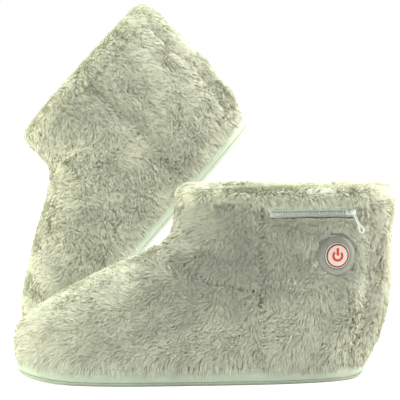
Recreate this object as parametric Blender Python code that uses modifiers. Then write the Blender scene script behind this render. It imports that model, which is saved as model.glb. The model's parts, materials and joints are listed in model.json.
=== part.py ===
"""A pair of electric foot warmers: plush slipper boots with a heated footbed.

The left boot stands flat. The right boot is its mirror image, toe on the floor, heel raised.
In each boot's own frame X runs from toe to heel, Z is up and the outer side of the foot is
at -Y on the left boot and at +Y on the right one.
"""
import math

import bmesh
import bpy
from mathutils import Euler, Matrix, Vector

MM = 0.001

# Whole boot
SOLE_LENGTH = 300 * MM
SOLE_WIDTH = 108 * MM
BOOT_HEIGHT = 157 * MM
FIT_GAP = 0.3 * MM

# Sole
OUTSOLE_THICKNESS = 3 * MM
SOLE_HEIGHT = 14 * MM
SOLE_EDGE_ROUND = 2.5 * MM
SOLE_SIDE_BULGE = 0.8 * MM
SOLE_LIP_INSET = 1.5 * MM
TOE_SPRING = 7 * MM
TOE_SPRING_LENGTH = 55 * MM
HEEL_SPRING = 3 * MM
HEEL_SPRING_LENGTH = 22 * MM
TREAD_GROOVE_DEPTH = 1.2 * MM
TREAD_GROOVE_WIDTH = 3 * MM
TREAD_PITCH = 19 * MM
TREAD_MARGIN = 14 * MM

# Layers of the upper, from the pile inwards
PANEL_THICKNESS = 5 * MM
WADDING_SPACE = 4 * MM
LINING_THICKNESS = 3 * MM
SEAM_GAP = 0.8 * MM
SEAM_DIP = 1.4 * MM
COLLAR_BAND_HEIGHT = 11 * MM
COLLAR_BULGE = 0.8 * MM
SIDE_SEAM_REACH = 6 * MM
REAR_SEAM_REACH = 19 * MM
COUNTER_THICKNESS = 1.5 * MM
COUNTER_INSET = 1 * MM
COUNTER_TAPER = 4 * MM
COUNTER_HEIGHT = 52 * MM

# Layers of the footbed
BOARD_THICKNESS = 2 * MM
FOAM_THICKNESS = 5 * MM
FOOTBED_SIDE_GAP = 0.8 * MM
PAD_THICKNESS = 0.8 * MM
PAD_FRONT_X = -118 * MM
PAD_BACK_X = 58 * MM
PAD_WIDTH = 64 * MM
WIRE_DIAMETER = 1.4 * MM
WIRE_PITCH = 13 * MM
WIRE_EDGE = 6 * MM
COVER_THICKNESS = 5 * MM
LINING_FOOT_RISE = 4 * MM
LEAD_DIAMETER = 1.8 * MM

# Battery pocket and its zip, in the outer side of the shaft: how far its back end lies from
# the heel's, how long it is, and how far its bottom lies below the collar's top
POCKET_BACK_REACH = 15 * MM
POCKET_LENGTH = 74 * MM
POCKET_DROP = 81 * MM
POCKET_DEPTH = 8.8 * MM
POCKET_WALL = 0.8 * MM
DENT_ASIDE = 28 * MM
DENT_BELOW = 13 * MM
DENT_ASIDE_SLOPE_SHARE = 1.3
DENT_BELOW_SLOPE_SHARE = 0.9
ZIP_SINK = 2.5 * MM
ZIP_TAPE_HEIGHT = 3.9 * MM
ZIP_TAPE_THICKNESS = 1.2 * MM
ZIP_SLIT = 1.6 * MM
ZIP_TOOTH_PITCH = 3 * MM
ZIP_TOOTH_WIDTH = 1.5 * MM
ZIP_TOOTH_DEPTH = 1 * MM
SLIDER_LENGTH = 9 * MM
SLIDER_WIDTH = 6.6 * MM
SLIDER_PLATE = 1.2 * MM
SLIDER_NECK = 1 * MM
STOP_LENGTH = 2 * MM
STOP_THICKNESS = 2.6 * MM
PULL_PIN_RADIUS = 1 * MM
PULL_PIN_HEAD = 0.8 * MM
PULL_PIN_SHOULDER = 0.8 * MM
PULL_STANDOFF = 5.5 * MM
PULL_THICKNESS = 1.2 * MM
PULL_LENGTH = 19 * MM
PULL_WIDTH = 2.2 * MM
PULL_LOOP_WIDTH = 4.4 * MM
PULL_LOOP_LENGTH = 7 * MM
PULL_RIM = 1.2 * MM
PULL_HANG_ANGLE = math.radians(64)

# Battery pack
BATTERY_WIDTH = 38 * MM
BATTERY_HEIGHT = 53 * MM
BATTERY_DEPTH = 8 * MM
BATTERY_WALL = 1 * MM
BATTERY_COVER = 1.4 * MM
BATTERY_BOARD_HEIGHT = 7 * MM
BATTERY_BOARD_THICKNESS = 3 * MM
BATTERY_LEAD_DIAMETER = 2.4 * MM
BATTERY_LEAD_RISE = 4.5 * MM

# Heating button: its reach from the heel's end and its drop from the collar's top
BUTTON_REACH = 35 * MM
BUTTON_DROP = 52 * MM
BEZEL_RADIUS = 17.5 * MM
BEZEL_SEAT = 0.6 * MM
BEZEL_HEIGHT = 4.2 * MM
BEZEL_RIM = 1.2 * MM
BEZEL_LIP = 0.5 * MM
BEZEL_SLOPE_SHARE = 0.7
BARREL_RADIUS = 13.2 * MM
BARREL_DEPTH = 10.5 * MM
BARREL_FLOOR = 1.1 * MM
CAP_RADIUS = 10.4 * MM
CAP_RISE = 1.4 * MM
CAP_CROWN = 0.5 * MM
CAP_DEPTH = 5.2 * MM
CAP_TRAVEL = 1 * MM
CAP_STEM_RADIUS = 2 * MM
CAP_STEM = 1.5 * MM
BOARD_DISC_THICKNESS = 1.6 * MM
SWITCH_RADIUS = 3.2 * MM
SWITCH_PLUNGER_RADIUS = 1.75 * MM
SWITCH_PLUNGER_HEIGHT = 0.6 * MM

# Overrun of every cutter past the surface that it opens
CUT_OVERRUN = 3 * MM

# Where the right boot stands, in the left boot's frame
RIGHT_X = -19 * MM
RIGHT_Y = 237 * MM
RIGHT_TURN = Euler((math.radians(-20.7), math.radians(-45.4), math.radians(23.6)))

# Counts and steps of the curves
STATIONS = 36
SOLE_STATIONS = 48
FOOTBED_STATIONS = 36
PAD_STATIONS = 32
PANEL_ROWS = 6
LINING_ROWS = 8
TURN_STEPS = 28
SMALL_TURN_STEPS = 12
PULL_RING_STEPS = 10
LEAD_STEPS = 3
HALVINGS = 40
SLOPE_STEP_SHARE = 0.02
MERGE_DISTANCE = 0.01 * MM

# Rings of the outer surface from the sole to the collar: front x, front height, back x and
# back height, half width, and how much of the plan is foot and not oval. The x values are
# shares of the sole's length, the heights of the upper's and the widths of the sole's width.
RING_SHARES = (
    (-0.477, 0.0, 0.480, 0.0, 0.465, 1.0),
    (-0.490, 0.10, 0.510, 0.12, 0.492, 1.0),
    (-0.477, 0.20, 0.526, 0.24, 0.500, 1.0),
    (-0.430, 0.29, 0.532, 0.33, 0.498, 0.95),
    (-0.350, 0.405, 0.536, 0.42, 0.488, 0.78),
    (-0.253, 0.507, 0.537, 0.50, 0.468, 0.55),
    (-0.153, 0.600, 0.537, 0.58, 0.450, 0.33),
    (-0.078, 0.662, 0.538, 0.65, 0.438, 0.2),
    (-0.043, 0.735, 0.540, 0.72, 0.434, 0.1),
    (-0.036, 0.825, 0.543, 0.825, 0.432, 0.0),
    (-0.030, 0.92, 0.547, 0.92, 0.436, 0.0),
    (-0.024, 1.0, 0.550, 1.0, 0.440, 0.0),
)
# Half width around a ring at equal steps of its angle, from the front end to the back end
FOOT_OUTER_SHARES = (0.0, 0.60, 0.95, 0.97, 0.90, 0.60, 0.0)
FOOT_INNER_SHARES = (0.0, 0.66, 1.00, 0.84, 0.76, 0.52, 0.0)
OVAL_OUTER_SHARES = (0.0, 0.56, 0.92, 1.00, 0.93, 0.62, 0.0)
OVAL_INNER_SHARES = (0.0, 0.56, 0.90, 1.00, 0.90, 0.58, 0.0)
# Ring number at which the instep seam starts on the centre line and ends at the side seam
SEAM_FRONT_RING = 6.9
SEAM_SIDE_RING = 4.2
SEAM_BOW_SHARE = 1.2

# Surfaces: red, green, blue, roughness
PLUSH = (0.47, 0.48, 0.38, 0.95)
PLUSH_LIGHT = (0.62, 0.64, 0.52, 0.95)
SOLE_MINT = (0.55, 0.64, 0.53, 0.6)
BOARD_TAN = (0.48, 0.36, 0.22, 0.8)
FOAM_WHITE = (0.75, 0.74, 0.70, 0.9)
CARBON = (0.05, 0.05, 0.055, 0.6)
COPPER_WIRE = (0.55, 0.12, 0.08, 0.5)
ZIP_MINT = (0.52, 0.60, 0.52, 0.7)
ZIP_METAL = (0.60, 0.64, 0.60, 0.35)
POCKET_CLOTH = (0.40, 0.42, 0.38, 0.9)
PACK_BLACK = (0.03, 0.03, 0.035, 0.5)
CELL_BLUE = (0.08, 0.16, 0.40, 0.4)
BOARD_GREEN = (0.03, 0.22, 0.08, 0.5)
BEZEL_GREY = (0.50, 0.55, 0.54, 0.2)
CAP_WHITE = (0.85, 0.80, 0.78, 0.35)
LEAD_BLACK = (0.02, 0.02, 0.02, 0.55)

UPPER_BASE_Z = SOLE_HEIGHT + FIT_GAP
UPPER_HEIGHT = BOOT_HEIGHT - UPPER_BASE_Z
BAND_Z = BOOT_HEIGHT - COLLAR_BAND_HEIGHT
ZIP_Z = BAND_Z - 2 * FIT_GAP - ZIP_TAPE_HEIGHT - ZIP_SLIT / 2
POCKET_BACK_X = SOLE_LENGTH / 2 - POCKET_BACK_REACH
POCKET_FRONT_X = POCKET_BACK_X - POCKET_LENGTH
POCKET_BOTTOM_Z = BOOT_HEIGHT - POCKET_DROP
SIDE_SEAM_X = POCKET_FRONT_X - SIDE_SEAM_REACH
BUTTON_X = SOLE_LENGTH / 2 - BUTTON_REACH
BUTTON_Z = BOOT_HEIGHT - BUTTON_DROP
LINING_OUTER = PANEL_THICKNESS + WADDING_SPACE
LINING_INNER = LINING_OUTER + LINING_THICKNESS
BOARD_Z = UPPER_BASE_Z
FOAM_Z = BOARD_Z + BOARD_THICKNESS + FIT_GAP
PAD_Z = FOAM_Z + FOAM_THICKNESS + FIT_GAP
WIRE_Z = PAD_Z + PAD_THICKNESS + FIT_GAP
COVER_Z = WIRE_Z + WIRE_DIAMETER + FIT_GAP
LINING_FOOT_Z = PAD_Z + LINING_FOOT_RISE
FOOTBED_INSET = PANEL_THICKNESS + FOOTBED_SIDE_GAP
COVER_INSET = LINING_INNER + FOOTBED_SIDE_GAP


def smooth(value):
    """Ease a share from 0 to 1, clamped at both ends."""
    share = min(max(value, 0.0), 1.0)
    return share * share * (3 - 2 * share)


def cubic(values, place):
    """Read a smooth curve through evenly spaced values at a fractional place."""
    last = len(values) - 1
    start = min(max(int(math.floor(place)), 0), last - 1)
    share = place - start
    before = values[start - 1] if start > 0 else 2 * values[0] - values[1]
    first = values[start]
    second = values[start + 1]
    after = values[start + 2] if start + 2 <= last else 2 * values[last] - values[last - 1]
    slope_a = (second - before) / 2
    slope_b = (after - first) / 2
    return (first * (2 * share ** 3 - 3 * share ** 2 + 1)
            + slope_a * (share ** 3 - 2 * share ** 2 + share)
            + second * (3 * share ** 2 - 2 * share ** 3)
            + slope_b * (share ** 3 - share ** 2))


def around(values, angle):
    """Read a half outline at an angle from the front; it mirrors smoothly past both ends."""
    steps = len(values) - 1
    place = abs(angle) / math.pi * steps
    mirrored = [-values[1]] + list(values) + [-values[-2]]
    return cubic(mirrored, place + 1)


def plan_point(angle, front_x, back_x, half_width, foot_mix, outer_sign):
    """A point of a ring seen from above. Positive angles lie on the outer side."""
    x = front_x + (back_x - front_x) * (1 - math.cos(angle)) / 2
    if angle > math.pi:
        angle -= 2 * math.pi
    if angle >= 0:
        foot, oval, sign = FOOT_OUTER_SHARES, OVAL_OUTER_SHARES, outer_sign
    else:
        foot, oval, sign = FOOT_INNER_SHARES, OVAL_INNER_SHARES, -outer_sign
    share = foot_mix * around(foot, angle) + (1 - foot_mix) * around(oval, angle)
    return x, sign * half_width * share


def spring(x, z):
    """Rise of the sole and of what stands on it, towards the toe and the heel's back edge."""
    toe = max(0.0, (TOE_SPRING_LENGTH - SOLE_LENGTH / 2 - x) / TOE_SPRING_LENGTH)
    heel = max(0.0, (x - SOLE_LENGTH / 2 + HEEL_SPRING_LENGTH) / HEEL_SPRING_LENGTH)
    rise = TOE_SPRING * toe ** 2 + HEEL_SPRING * min(heel, 1.0) ** 2
    fade = smooth((z - 2 * UPPER_BASE_Z) / UPPER_HEIGHT * 2)
    return rise * (1 - fade)


def ring_values(ring):
    """Front x, front z, back x, back z, half width and foot share at a fractional ring."""
    columns = zip(*RING_SHARES)
    front_x, front_z, back_x, back_z, half_width, mix = [cubic(column, ring) for column in columns]
    return (front_x * SOLE_LENGTH, UPPER_BASE_Z + front_z * UPPER_HEIGHT,
            back_x * SOLE_LENGTH, UPPER_BASE_Z + back_z * UPPER_HEIGHT,
            half_width * SOLE_WIDTH, min(max(mix, 0.0), 1.0))


LAST_RING = len(RING_SHARES) - 1


def ring_at_height(z, share_back=1.0):
    """The fractional ring whose height is z, at its back end or, with 0, at its front end."""
    low, high = 0.0, float(LAST_RING)
    for _ in range(HALVINGS):
        middle = (low + high) / 2
        values = ring_values(middle)
        height = values[1] + (values[3] - values[1]) * share_back
        if height < z:
            low = middle
        else:
            high = middle
    return (low + high) / 2


def angle_at_x(ring, x):
    """The angle from the front at which a ring reaches x."""
    front_x, _, back_x, _, _, _ = ring_values(ring)
    share = min(max((x - front_x) / (back_x - front_x), 0.0), 1.0)
    return math.acos(1 - 2 * share)


def bare_point(ring, angle, outer_sign):
    """A point of the boot's outer surface before the sole's spring."""
    front_x, front_z, back_x, back_z, half_width, mix = ring_values(ring)
    x, y = plan_point(angle, front_x, back_x, half_width, mix, outer_sign)
    share = (1 - math.cos(angle)) / 2
    return Vector((x, y, front_z + (back_z - front_z) * share))


def surface_point(ring, angle, depth, outer_sign):
    """A point at a depth below the boot's outer surface."""
    step = SLOPE_STEP_SHARE
    along = bare_point(ring, angle + step, outer_sign) - bare_point(ring, angle - step, outer_sign)
    up_ring = min(ring + step, LAST_RING)
    down_ring = max(ring - step, 0)
    up = bare_point(up_ring, angle, outer_sign) - bare_point(down_ring, angle, outer_sign)
    normal = along.cross(up) * -outer_sign
    level = smooth(ring / 2) * smooth((LAST_RING - 1 - ring) / 2)
    normal.normalize()
    normal.z *= level
    normal.normalize()
    point = bare_point(ring, angle, outer_sign) - normal * depth
    point.z += spring(point.x, point.z)
    return point


class Pocket:
    """The flat frame of the battery pocket: along the zip, outwards, and height."""

    def __init__(self, outer_sign):
        ring = ring_at_height(ZIP_Z)
        front = bare_point(ring, angle_at_x(ring, POCKET_FRONT_X), outer_sign)
        back = bare_point(ring, angle_at_x(ring, POCKET_BACK_X), outer_sign)
        self.along = back - front
        self.along.z = 0
        self.half = self.along.length / 2
        self.along.normalize()
        self.out = Vector((-self.along.y, self.along.x, 0)) * outer_sign
        if self.out.y * outer_sign < 0:
            self.out.negate()
        self.origin = (front + back) / 2 - self.out * ZIP_SINK
        self.origin.z = 0
        self.front_wall = self.panel_inside(outer_sign) - 4 * FIT_GAP
        self.back_wall = self.front_wall - POCKET_WALL - POCKET_DEPTH - POCKET_WALL

    def panel_inside(self, outer_sign):
        """How far out the inner face of the panel comes in towards the pocket."""
        lowest = math.inf
        for z in (POCKET_BOTTOM_Z, (POCKET_BOTTOM_Z + ZIP_Z) / 2, ZIP_Z):
            ring = ring_at_height(z)
            for x in (POCKET_FRONT_X, POCKET_BACK_X):
                point = surface_point(ring, angle_at_x(ring, x), PANEL_THICKNESS, outer_sign)
                lowest = min(lowest, self.coordinates(point)[1])
        return lowest

    def point(self, along, out, z):
        return self.origin + self.along * along + self.out * out + Vector((0, 0, z))

    def matrix(self):
        return Matrix.Translation(self.origin) @ Matrix((
            (self.along.x, self.out.x, 0, 0),
            (self.along.y, self.out.y, 0, 0),
            (0, 0, 1, 0),
            (0, 0, 0, 1)))

    def coordinates(self, point):
        offset = point - self.origin
        return offset.dot(self.along), offset.dot(self.out), point.z


def lining_point(ring, angle, depth, pocket, outer_sign):
    """A point of the lining, which makes room for the battery pocket on the outer side."""
    point = surface_point(ring, angle, depth, outer_sign)
    if angle <= 0:
        return point
    along, out, z = pocket.coordinates(point)
    room = pocket.back_wall - FIT_GAP * 2 - (depth - LINING_OUTER)
    aside = max(0.0, abs(along) - pocket.half - DENT_ASIDE)
    below = max(0.0, POCKET_BOTTOM_Z - DENT_BELOW - z)
    limit = room + aside * DENT_ASIDE_SLOPE_SHARE + below * DENT_BELOW_SLOPE_SHARE
    if out > limit:
        point = point + pocket.out * (limit - out)
    return point


def material(name, surface):
    """A plain coloured surface."""
    made = bpy.data.materials.new(name)
    made.use_nodes = True
    shader = made.node_tree.nodes["Principled BSDF"]
    shader.inputs["Base Color"].default_value = (*surface[:3], 1)
    shader.inputs["Roughness"].default_value = surface[3]
    shader.inputs["Metallic"].default_value = 1.0 if surface is ZIP_METAL else 0.0
    made.diffuse_color = (*surface[:3], 1)
    return made


class Boot:
    """One boot: its side, its collections and the empty that everything hangs on."""

    def __init__(self, name, outer_sign, parts, cutters):
        self.name = name
        self.outer_sign = outer_sign
        self.parts = parts
        self.cutters = cutters
        self.pocket = Pocket(outer_sign)
        self.empty = bpy.data.objects.new(name + "_boot", None)
        parts.objects.link(self.empty)

    def surface(self, ring, angle, depth):
        return surface_point(ring, angle, depth, self.outer_sign)

    def lining(self, ring, angle, depth):
        return lining_point(ring, angle, depth, self.pocket, self.outer_sign)

    def adopt(self, thing, surface=None):
        """Put an object in the boot: a piece with a surface, or a cutter without one."""
        thing.parent = self.empty
        if surface is None:
            self.cutters.objects.link(thing)
            thing.hide_render = True
            thing.display_type = "WIRE"
        else:
            self.parts.objects.link(thing)
            thing.data.materials.append(material(thing.name, surface))
        return thing

    def mesh(self, name, bm, surface=None):
        """Turn a bmesh into a piece or a cutter, with its faces turned out."""
        bmesh.ops.recalc_face_normals(bm, faces=bm.faces)
        data = bpy.data.meshes.new(self.name + "_" + name)
        bm.to_mesh(data)
        bm.free()
        return self.adopt(bpy.data.objects.new(data.name, data), surface)


def cut(thing, cutter, operation="DIFFERENCE"):
    """Boolean one object with another."""
    modifier = thing.modifiers.new(operation.title(), "BOOLEAN")
    modifier.operation = operation
    modifier.solver = "EXACT"
    modifier.object = cutter


def shell(boot, name, outer, inner, wrap, surface):
    """A closed slab between two grids of points, open or closed along their columns."""
    bm = bmesh.new()
    rows, columns = len(outer), len(outer[0])
    skins = [[[bm.verts.new(point) for point in row] for row in grid] for grid in (outer, inner)]
    spans = columns if wrap else columns - 1
    for skin in skins:
        for row in range(rows - 1):
            for column in range(spans):
                after = (column + 1) % columns
                bm.faces.new((skin[row][column], skin[row][after],
                              skin[row + 1][after], skin[row + 1][column]))
    for row in (0, rows - 1):
        for column in range(spans):
            after = (column + 1) % columns
            bm.faces.new((skins[0][row][column], skins[0][row][after],
                          skins[1][row][after], skins[1][row][column]))
    if not wrap:
        for column in (0, columns - 1):
            for row in range(rows - 1):
                bm.faces.new((skins[0][row][column], skins[0][row + 1][column],
                              skins[1][row + 1][column], skins[1][row][column]))
    return boot.mesh(name, bm, surface)


def drawn_in(grid, distance):
    """Pull the side columns of a grid inwards by a distance, for a seam's gap."""
    for row in grid:
        for edge, towards in ((0, 1), (-1, -2)):
            row[edge] = row[edge] + (row[towards] - row[edge]).normalized() * distance
    return grid


def panel(boot, name, rings_of, angles_of, columns, surface, rows=PANEL_ROWS):
    """A plush panel. Its outer face dips at its seams."""
    grids = []
    for face in (0, 1):
        grid = []
        for row in range(rows + 1):
            line = []
            for column in range(columns + 1):
                share = column / columns
                low, high = rings_of(share)
                ring = low + (high - low) * row / rows
                start, end = angles_of(ring)
                angle = start + (end - start) * share
                at_seam = column in (0, columns)
                depth = PANEL_THICKNESS if face else (SEAM_DIP if at_seam else 0.0)
                line.append(boot.surface(ring, angle, depth))
            grid.append(line)
        grids.append(drawn_in(grid, SEAM_GAP / 2))
    return shell(boot, name, grids[0], grids[1], False, surface)


def side_angle(ring):
    """The side seam's angle on a ring."""
    return angle_at_x(ring, SIDE_SEAM_X)


def rear_angle(ring):
    """The rear seam's angle on a ring, a fixed reach in front of the ring's back end."""
    return angle_at_x(ring, ring_values(ring)[2] - REAR_SEAM_REACH)


def seam_ring(share):
    """The instep seam's ring, by the share of the way from one side seam to the other."""
    from_centre = abs(2 * share - 1)
    return SEAM_FRONT_RING + (SEAM_SIDE_RING - SEAM_FRONT_RING) * from_centre ** SEAM_BOW_SHARE


def seam_half_gap(ring):
    """Half the seam's gap, counted in rings."""
    rise = ring_values(min(ring + 0.5, LAST_RING))[3] - ring_values(ring - 0.5)[3]
    return SEAM_GAP / 2 / rise


def uppers(boot):
    """The five plush panels, the lining, the heel counter and the collar band."""
    top = ring_at_height(BAND_Z - FIT_GAP)
    panel(boot, "vamp",
          lambda share: (0.0, seam_ring(share) - seam_half_gap(seam_ring(share))),
          lambda ring: (-side_angle(ring), side_angle(ring)), 22, PLUSH, 7)
    panel(boot, "shaft_front",
          lambda share: (seam_ring(share) + seam_half_gap(seam_ring(share)), top),
          lambda ring: (-side_angle(ring), side_angle(ring)), 14, PLUSH)
    outer = panel(boot, "lateral_quarter", lambda share: (0.0, top),
                  lambda ring: (side_angle(ring), rear_angle(ring)), 8, PLUSH, 8)
    panel(boot, "medial_quarter", lambda share: (0.0, top),
          lambda ring: (-rear_angle(ring), -side_angle(ring)), 7, PLUSH, 7)
    panel(boot, "heel_panel", lambda share: (0.0, top),
          lambda ring: (rear_angle(ring), 2 * math.pi - rear_angle(ring)), 8, PLUSH, 7)
    lining(boot, top)
    heel_counter(boot)
    collar_band(boot)
    return outer


def closed_angles():
    """Angles all the way round a ring, from the inner side to the outer side."""
    return [math.pi * (2 * step / STATIONS - 1) for step in range(STATIONS)]


def lining(boot, top):
    """The foot lining, a sock open at the collar and over the footbed."""
    rows = LINING_ROWS
    grids = []
    for depth in (LINING_OUTER, LINING_INNER):
        grid = []
        for row in range(rows + 1):
            line = []
            for angle in closed_angles():
                share = (1 - math.cos(angle)) / 2
                low = ring_at_height(LINING_FOOT_Z, share)
                ring = low + (top - low) * row / rows
                line.append(boot.lining(ring, angle, depth))
            grid.append(line)
        grids.append(grid)
    return shell(boot, "foot_lining", grids[0], grids[1], True, PLUSH_LIGHT)


def heel_counter(boot):
    """The stiffener that keeps the heel upright, between the heel panel and the lining."""
    depth = PANEL_THICKNESS + 3 * FIT_GAP
    rows, columns = 4, 8
    low = ring_at_height(PAD_Z)
    high = ring_at_height(PAD_Z + COUNTER_HEIGHT)
    grids = []
    for layer in (depth, depth + COUNTER_THICKNESS):
        grid = []
        for row in range(rows + 1):
            ring = low + (high - low) * row / rows
            reach = REAR_SEAM_REACH - COUNTER_INSET - COUNTER_TAPER * row / rows
            start = angle_at_x(ring, ring_values(ring)[2] - reach)
            span = 2 * (math.pi - start)
            grid.append([boot.surface(ring, start + span * column / columns, layer)
                         for column in range(columns + 1)])
        grids.append(grid)
    return shell(boot, "heel_counter", grids[0], grids[1], False, BOARD_TAN)


def collar_band(boot):
    """The rolled plush band round the top, from the outer face to the lining's inner face."""
    section_shares = ((0.0, 0.0), (0.0, 0.55), (0.10, 0.86), (0.32, 1.0), (0.66, 1.0),
                      (0.88, 0.86), (1.0, 0.55), (1.0, 0.0))
    base = ring_at_height(BAND_Z)
    bm = bmesh.new()
    loops = []
    for angle in closed_angles():
        loop = []
        for across, height in section_shares:
            ring = base + (LAST_RING - base) * height
            outer = boot.surface(ring, angle, -COLLAR_BULGE * min(1.0, 2 * height))
            inner = boot.lining(ring, angle, LINING_INNER)
            point = outer + (inner - outer) * across
            point.z = BAND_Z + COLLAR_BAND_HEIGHT * height
            loop.append(bm.verts.new(point))
        loops.append(loop)
    for here, after in zip(loops, loops[1:] + loops[:1]):
        for corner in range(len(here)):
            following = (corner + 1) % len(here)
            bm.faces.new((here[corner], here[following], after[following], after[corner]))
    return boot.mesh("collar_band", bm, PLUSH_LIGHT)


def foot_outline(boot, front_x, back_x, half_width):
    """A foot's outline as a function of the angle from its front."""
    return lambda angle: plan_point(angle, front_x, back_x, half_width, 1.0, boot.outer_sign)


def stacked(boot, name, levels, surface, stations=SOLE_STATIONS):
    """A foot-shaped slab through levels, each an outline and its height."""
    bm = bmesh.new()
    rings = []
    for outline, z in levels:
        ring = []
        for step in range(stations):
            x, y = outline(2 * math.pi * step / stations)
            ring.append(bm.verts.new((x, y, z + spring(x, z))))
        rings.append(ring)
    for low, high in zip(rings, rings[1:]):
        for step in range(stations):
            after = (step + 1) % stations
            bm.faces.new((low[step], low[after], high[after], high[step]))
    for ring in (rings[0], rings[-1]):
        for step in range(stations // 2):
            corners = [ring[step], ring[step + 1],
                       ring[(stations - step - 1) % stations], ring[(stations - step) % stations]]
            kept = list(dict.fromkeys(corners))
            bm.faces.new(kept)
    return boot.mesh(name, bm, surface)


def sole_level(boot, inset, z):
    """A level of the sole at a distance in from its widest outline."""
    front_x, _, back_x, _, half_width, _ = ring_values(0)
    reach = SOLE_LIP_INSET - inset
    return foot_outline(boot, front_x - reach, back_x + reach, half_width + reach), z


def sole(boot):
    """The treaded outsole and the soft midsole that the upper stands on."""
    outsole = stacked(boot, "outsole", (
        sole_level(boot, SOLE_EDGE_ROUND, 0),
        sole_level(boot, SOLE_EDGE_ROUND / 3, OUTSOLE_THICKNESS / 2),
        sole_level(boot, 0, OUTSOLE_THICKNESS)), SOLE_MINT)
    base = OUTSOLE_THICKNESS + FIT_GAP
    stacked(boot, "midsole", (
        sole_level(boot, 0, base),
        sole_level(boot, -SOLE_SIDE_BULGE, (base + SOLE_HEIGHT) / 2),
        sole_level(boot, SOLE_LIP_INSET / 2, SOLE_HEIGHT)), SOLE_MINT)
    bm = bmesh.new()
    first = -SOLE_LENGTH / 2 + TOE_SPRING_LENGTH + TREAD_PITCH / 2
    last = SOLE_LENGTH / 2 - HEEL_SPRING_LENGTH - TREAD_PITCH / 2
    grooves = max(1, round((last - first) / TREAD_PITCH))
    for number in range(grooves + 1):
        x = first + (last - first) * number / grooves
        front_x, _, back_x, _, half_width, _ = ring_values(0)
        angle = math.acos(1 - 2 * (x - front_x) / (back_x - front_x))
        _, side = plan_point(angle, front_x, back_x, half_width, 1.0, boot.outer_sign)
        _, other = plan_point(-angle, front_x, back_x, half_width, 1.0, boot.outer_sign)
        width = abs(side - other) - 2 * TREAD_MARGIN
        place = Matrix.Translation((x, (side + other) / 2, 0))
        size = Matrix.Diagonal((TREAD_GROOVE_WIDTH, width, 2 * TREAD_GROOVE_DEPTH, 1))
        bmesh.ops.create_cube(bm, size=1, matrix=place @ size)
    cut(outsole, boot.mesh("tread_cutter", bm))


def footbed_levels(boot, inset, z, thickness):
    """Both faces of a footbed layer at a distance in from the upper's lower edge."""
    def outline(angle):
        point = boot.surface(0, angle, inset)
        return point.x, point.y
    return (outline, z), (outline, z + thickness)


def footbed(boot):
    """Insole board, foam, heating pad with its wire, and the plush insole cover."""
    stacked(boot, "insole_board", footbed_levels(boot, FOOTBED_INSET, BOARD_Z, BOARD_THICKNESS),
            BOARD_TAN, FOOTBED_STATIONS)
    stacked(boot, "footbed_foam", footbed_levels(boot, FOOTBED_INSET, FOAM_Z, FOAM_THICKNESS),
            FOAM_WHITE, FOOTBED_STATIONS)
    pad = foot_outline(boot, PAD_FRONT_X, PAD_BACK_X, PAD_WIDTH / 2)
    stacked(boot, "heating_pad", ((pad, PAD_Z), (pad, PAD_Z + PAD_THICKNESS)), CARBON,
            PAD_STATIONS)
    stacked(boot, "insole_cover", footbed_levels(boot, COVER_INSET, COVER_Z, COVER_THICKNESS),
            PLUSH_LIGHT, FOOTBED_STATIONS)
    tube(boot, "heating_wire", heater_route(boot), WIRE_DIAMETER, COPPER_WIRE)


def heater_route(boot):
    """The heating wire's run, to and fro across the pad from its back end to its front."""
    z = WIRE_Z + WIRE_DIAMETER / 2
    first = PAD_BACK_X - WIRE_PITCH
    runs = max(2, int((first - PAD_FRONT_X - WIRE_PITCH / 2) / WIRE_PITCH))
    points = []
    for number in range(runs + 1):
        x = first - WIRE_PITCH * number
        share = (x - PAD_FRONT_X) / (PAD_BACK_X - PAD_FRONT_X)
        angle = math.acos(1 - 2 * share)
        ends = []
        for sign in (1, -1):
            _, y = plan_point(sign * angle, PAD_FRONT_X, PAD_BACK_X, PAD_WIDTH / 2, 1.0,
                              boot.outer_sign)
            ends.append(y - math.copysign(min(WIRE_EDGE, abs(y) / 2), y))
        if number % 2:
            ends.reverse()
        corner = WIRE_PITCH / 4
        turn = math.copysign(corner, ends[1] - ends[0])
        points.append(Vector((x + corner if number else x, ends[0], z)))
        points.append(Vector((x, ends[0] + turn, z)))
        points.append(Vector((x, ends[1] - turn, z)))
        points.append(Vector((x - corner, ends[1], z)))
    for point in points:
        point.z += spring(point.x, point.z)
    return points


def tube(boot, name, points, diameter, surface):
    """A round wire or lead through points."""
    data = bpy.data.curves.new(boot.name + "_" + name, "CURVE")
    data.dimensions = "3D"
    data.bevel_depth = diameter / 2
    data.bevel_resolution = 1
    data.use_fill_caps = True
    spline = data.splines.new("POLY")
    spline.points.add(len(points) - 1)
    for slot, point in zip(spline.points, points):
        slot.co = (*point, 1)
    return boot.adopt(bpy.data.objects.new(data.name, data), surface)


def smooth_route(points, steps):
    """Points read from a smooth curve through a route's own points."""
    columns = [[point[axis] for point in points] for axis in range(3)]
    count = (len(points) - 1) * steps
    return [Vector([cubic(column, place / steps) for column in columns])
            for place in range(count + 1)]


def block(boot, name, along, out, height, surface=None):
    """A box in the pocket's frame, between pairs of limits."""
    bm = bmesh.new()
    pairs = (along, out, height)
    centre = Matrix.Translation([(low + high) / 2 for low, high in pairs])
    size = Matrix.Diagonal([high - low for low, high in pairs] + [1])
    bmesh.ops.create_cube(bm, size=1, matrix=boot.pocket.matrix() @ centre @ size)
    return boot.mesh(name, bm, surface)


def extruded(boot, name, outline, place, low, high, surface):
    """An outline swept from low to high; place turns its points into the boot's frame."""
    bm = bmesh.new()
    ends = [[bm.verts.new(place(across, up, level)) for across, up in outline]
            for level in (low, high)]
    bm.faces.new(ends[0])
    bm.faces.new(ends[1])
    for corner in range(len(outline)):
        after = (corner + 1) % len(outline)
        bm.faces.new((ends[0][corner], ends[0][after], ends[1][after], ends[1][corner]))
    return boot.mesh(name, bm, surface)


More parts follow.
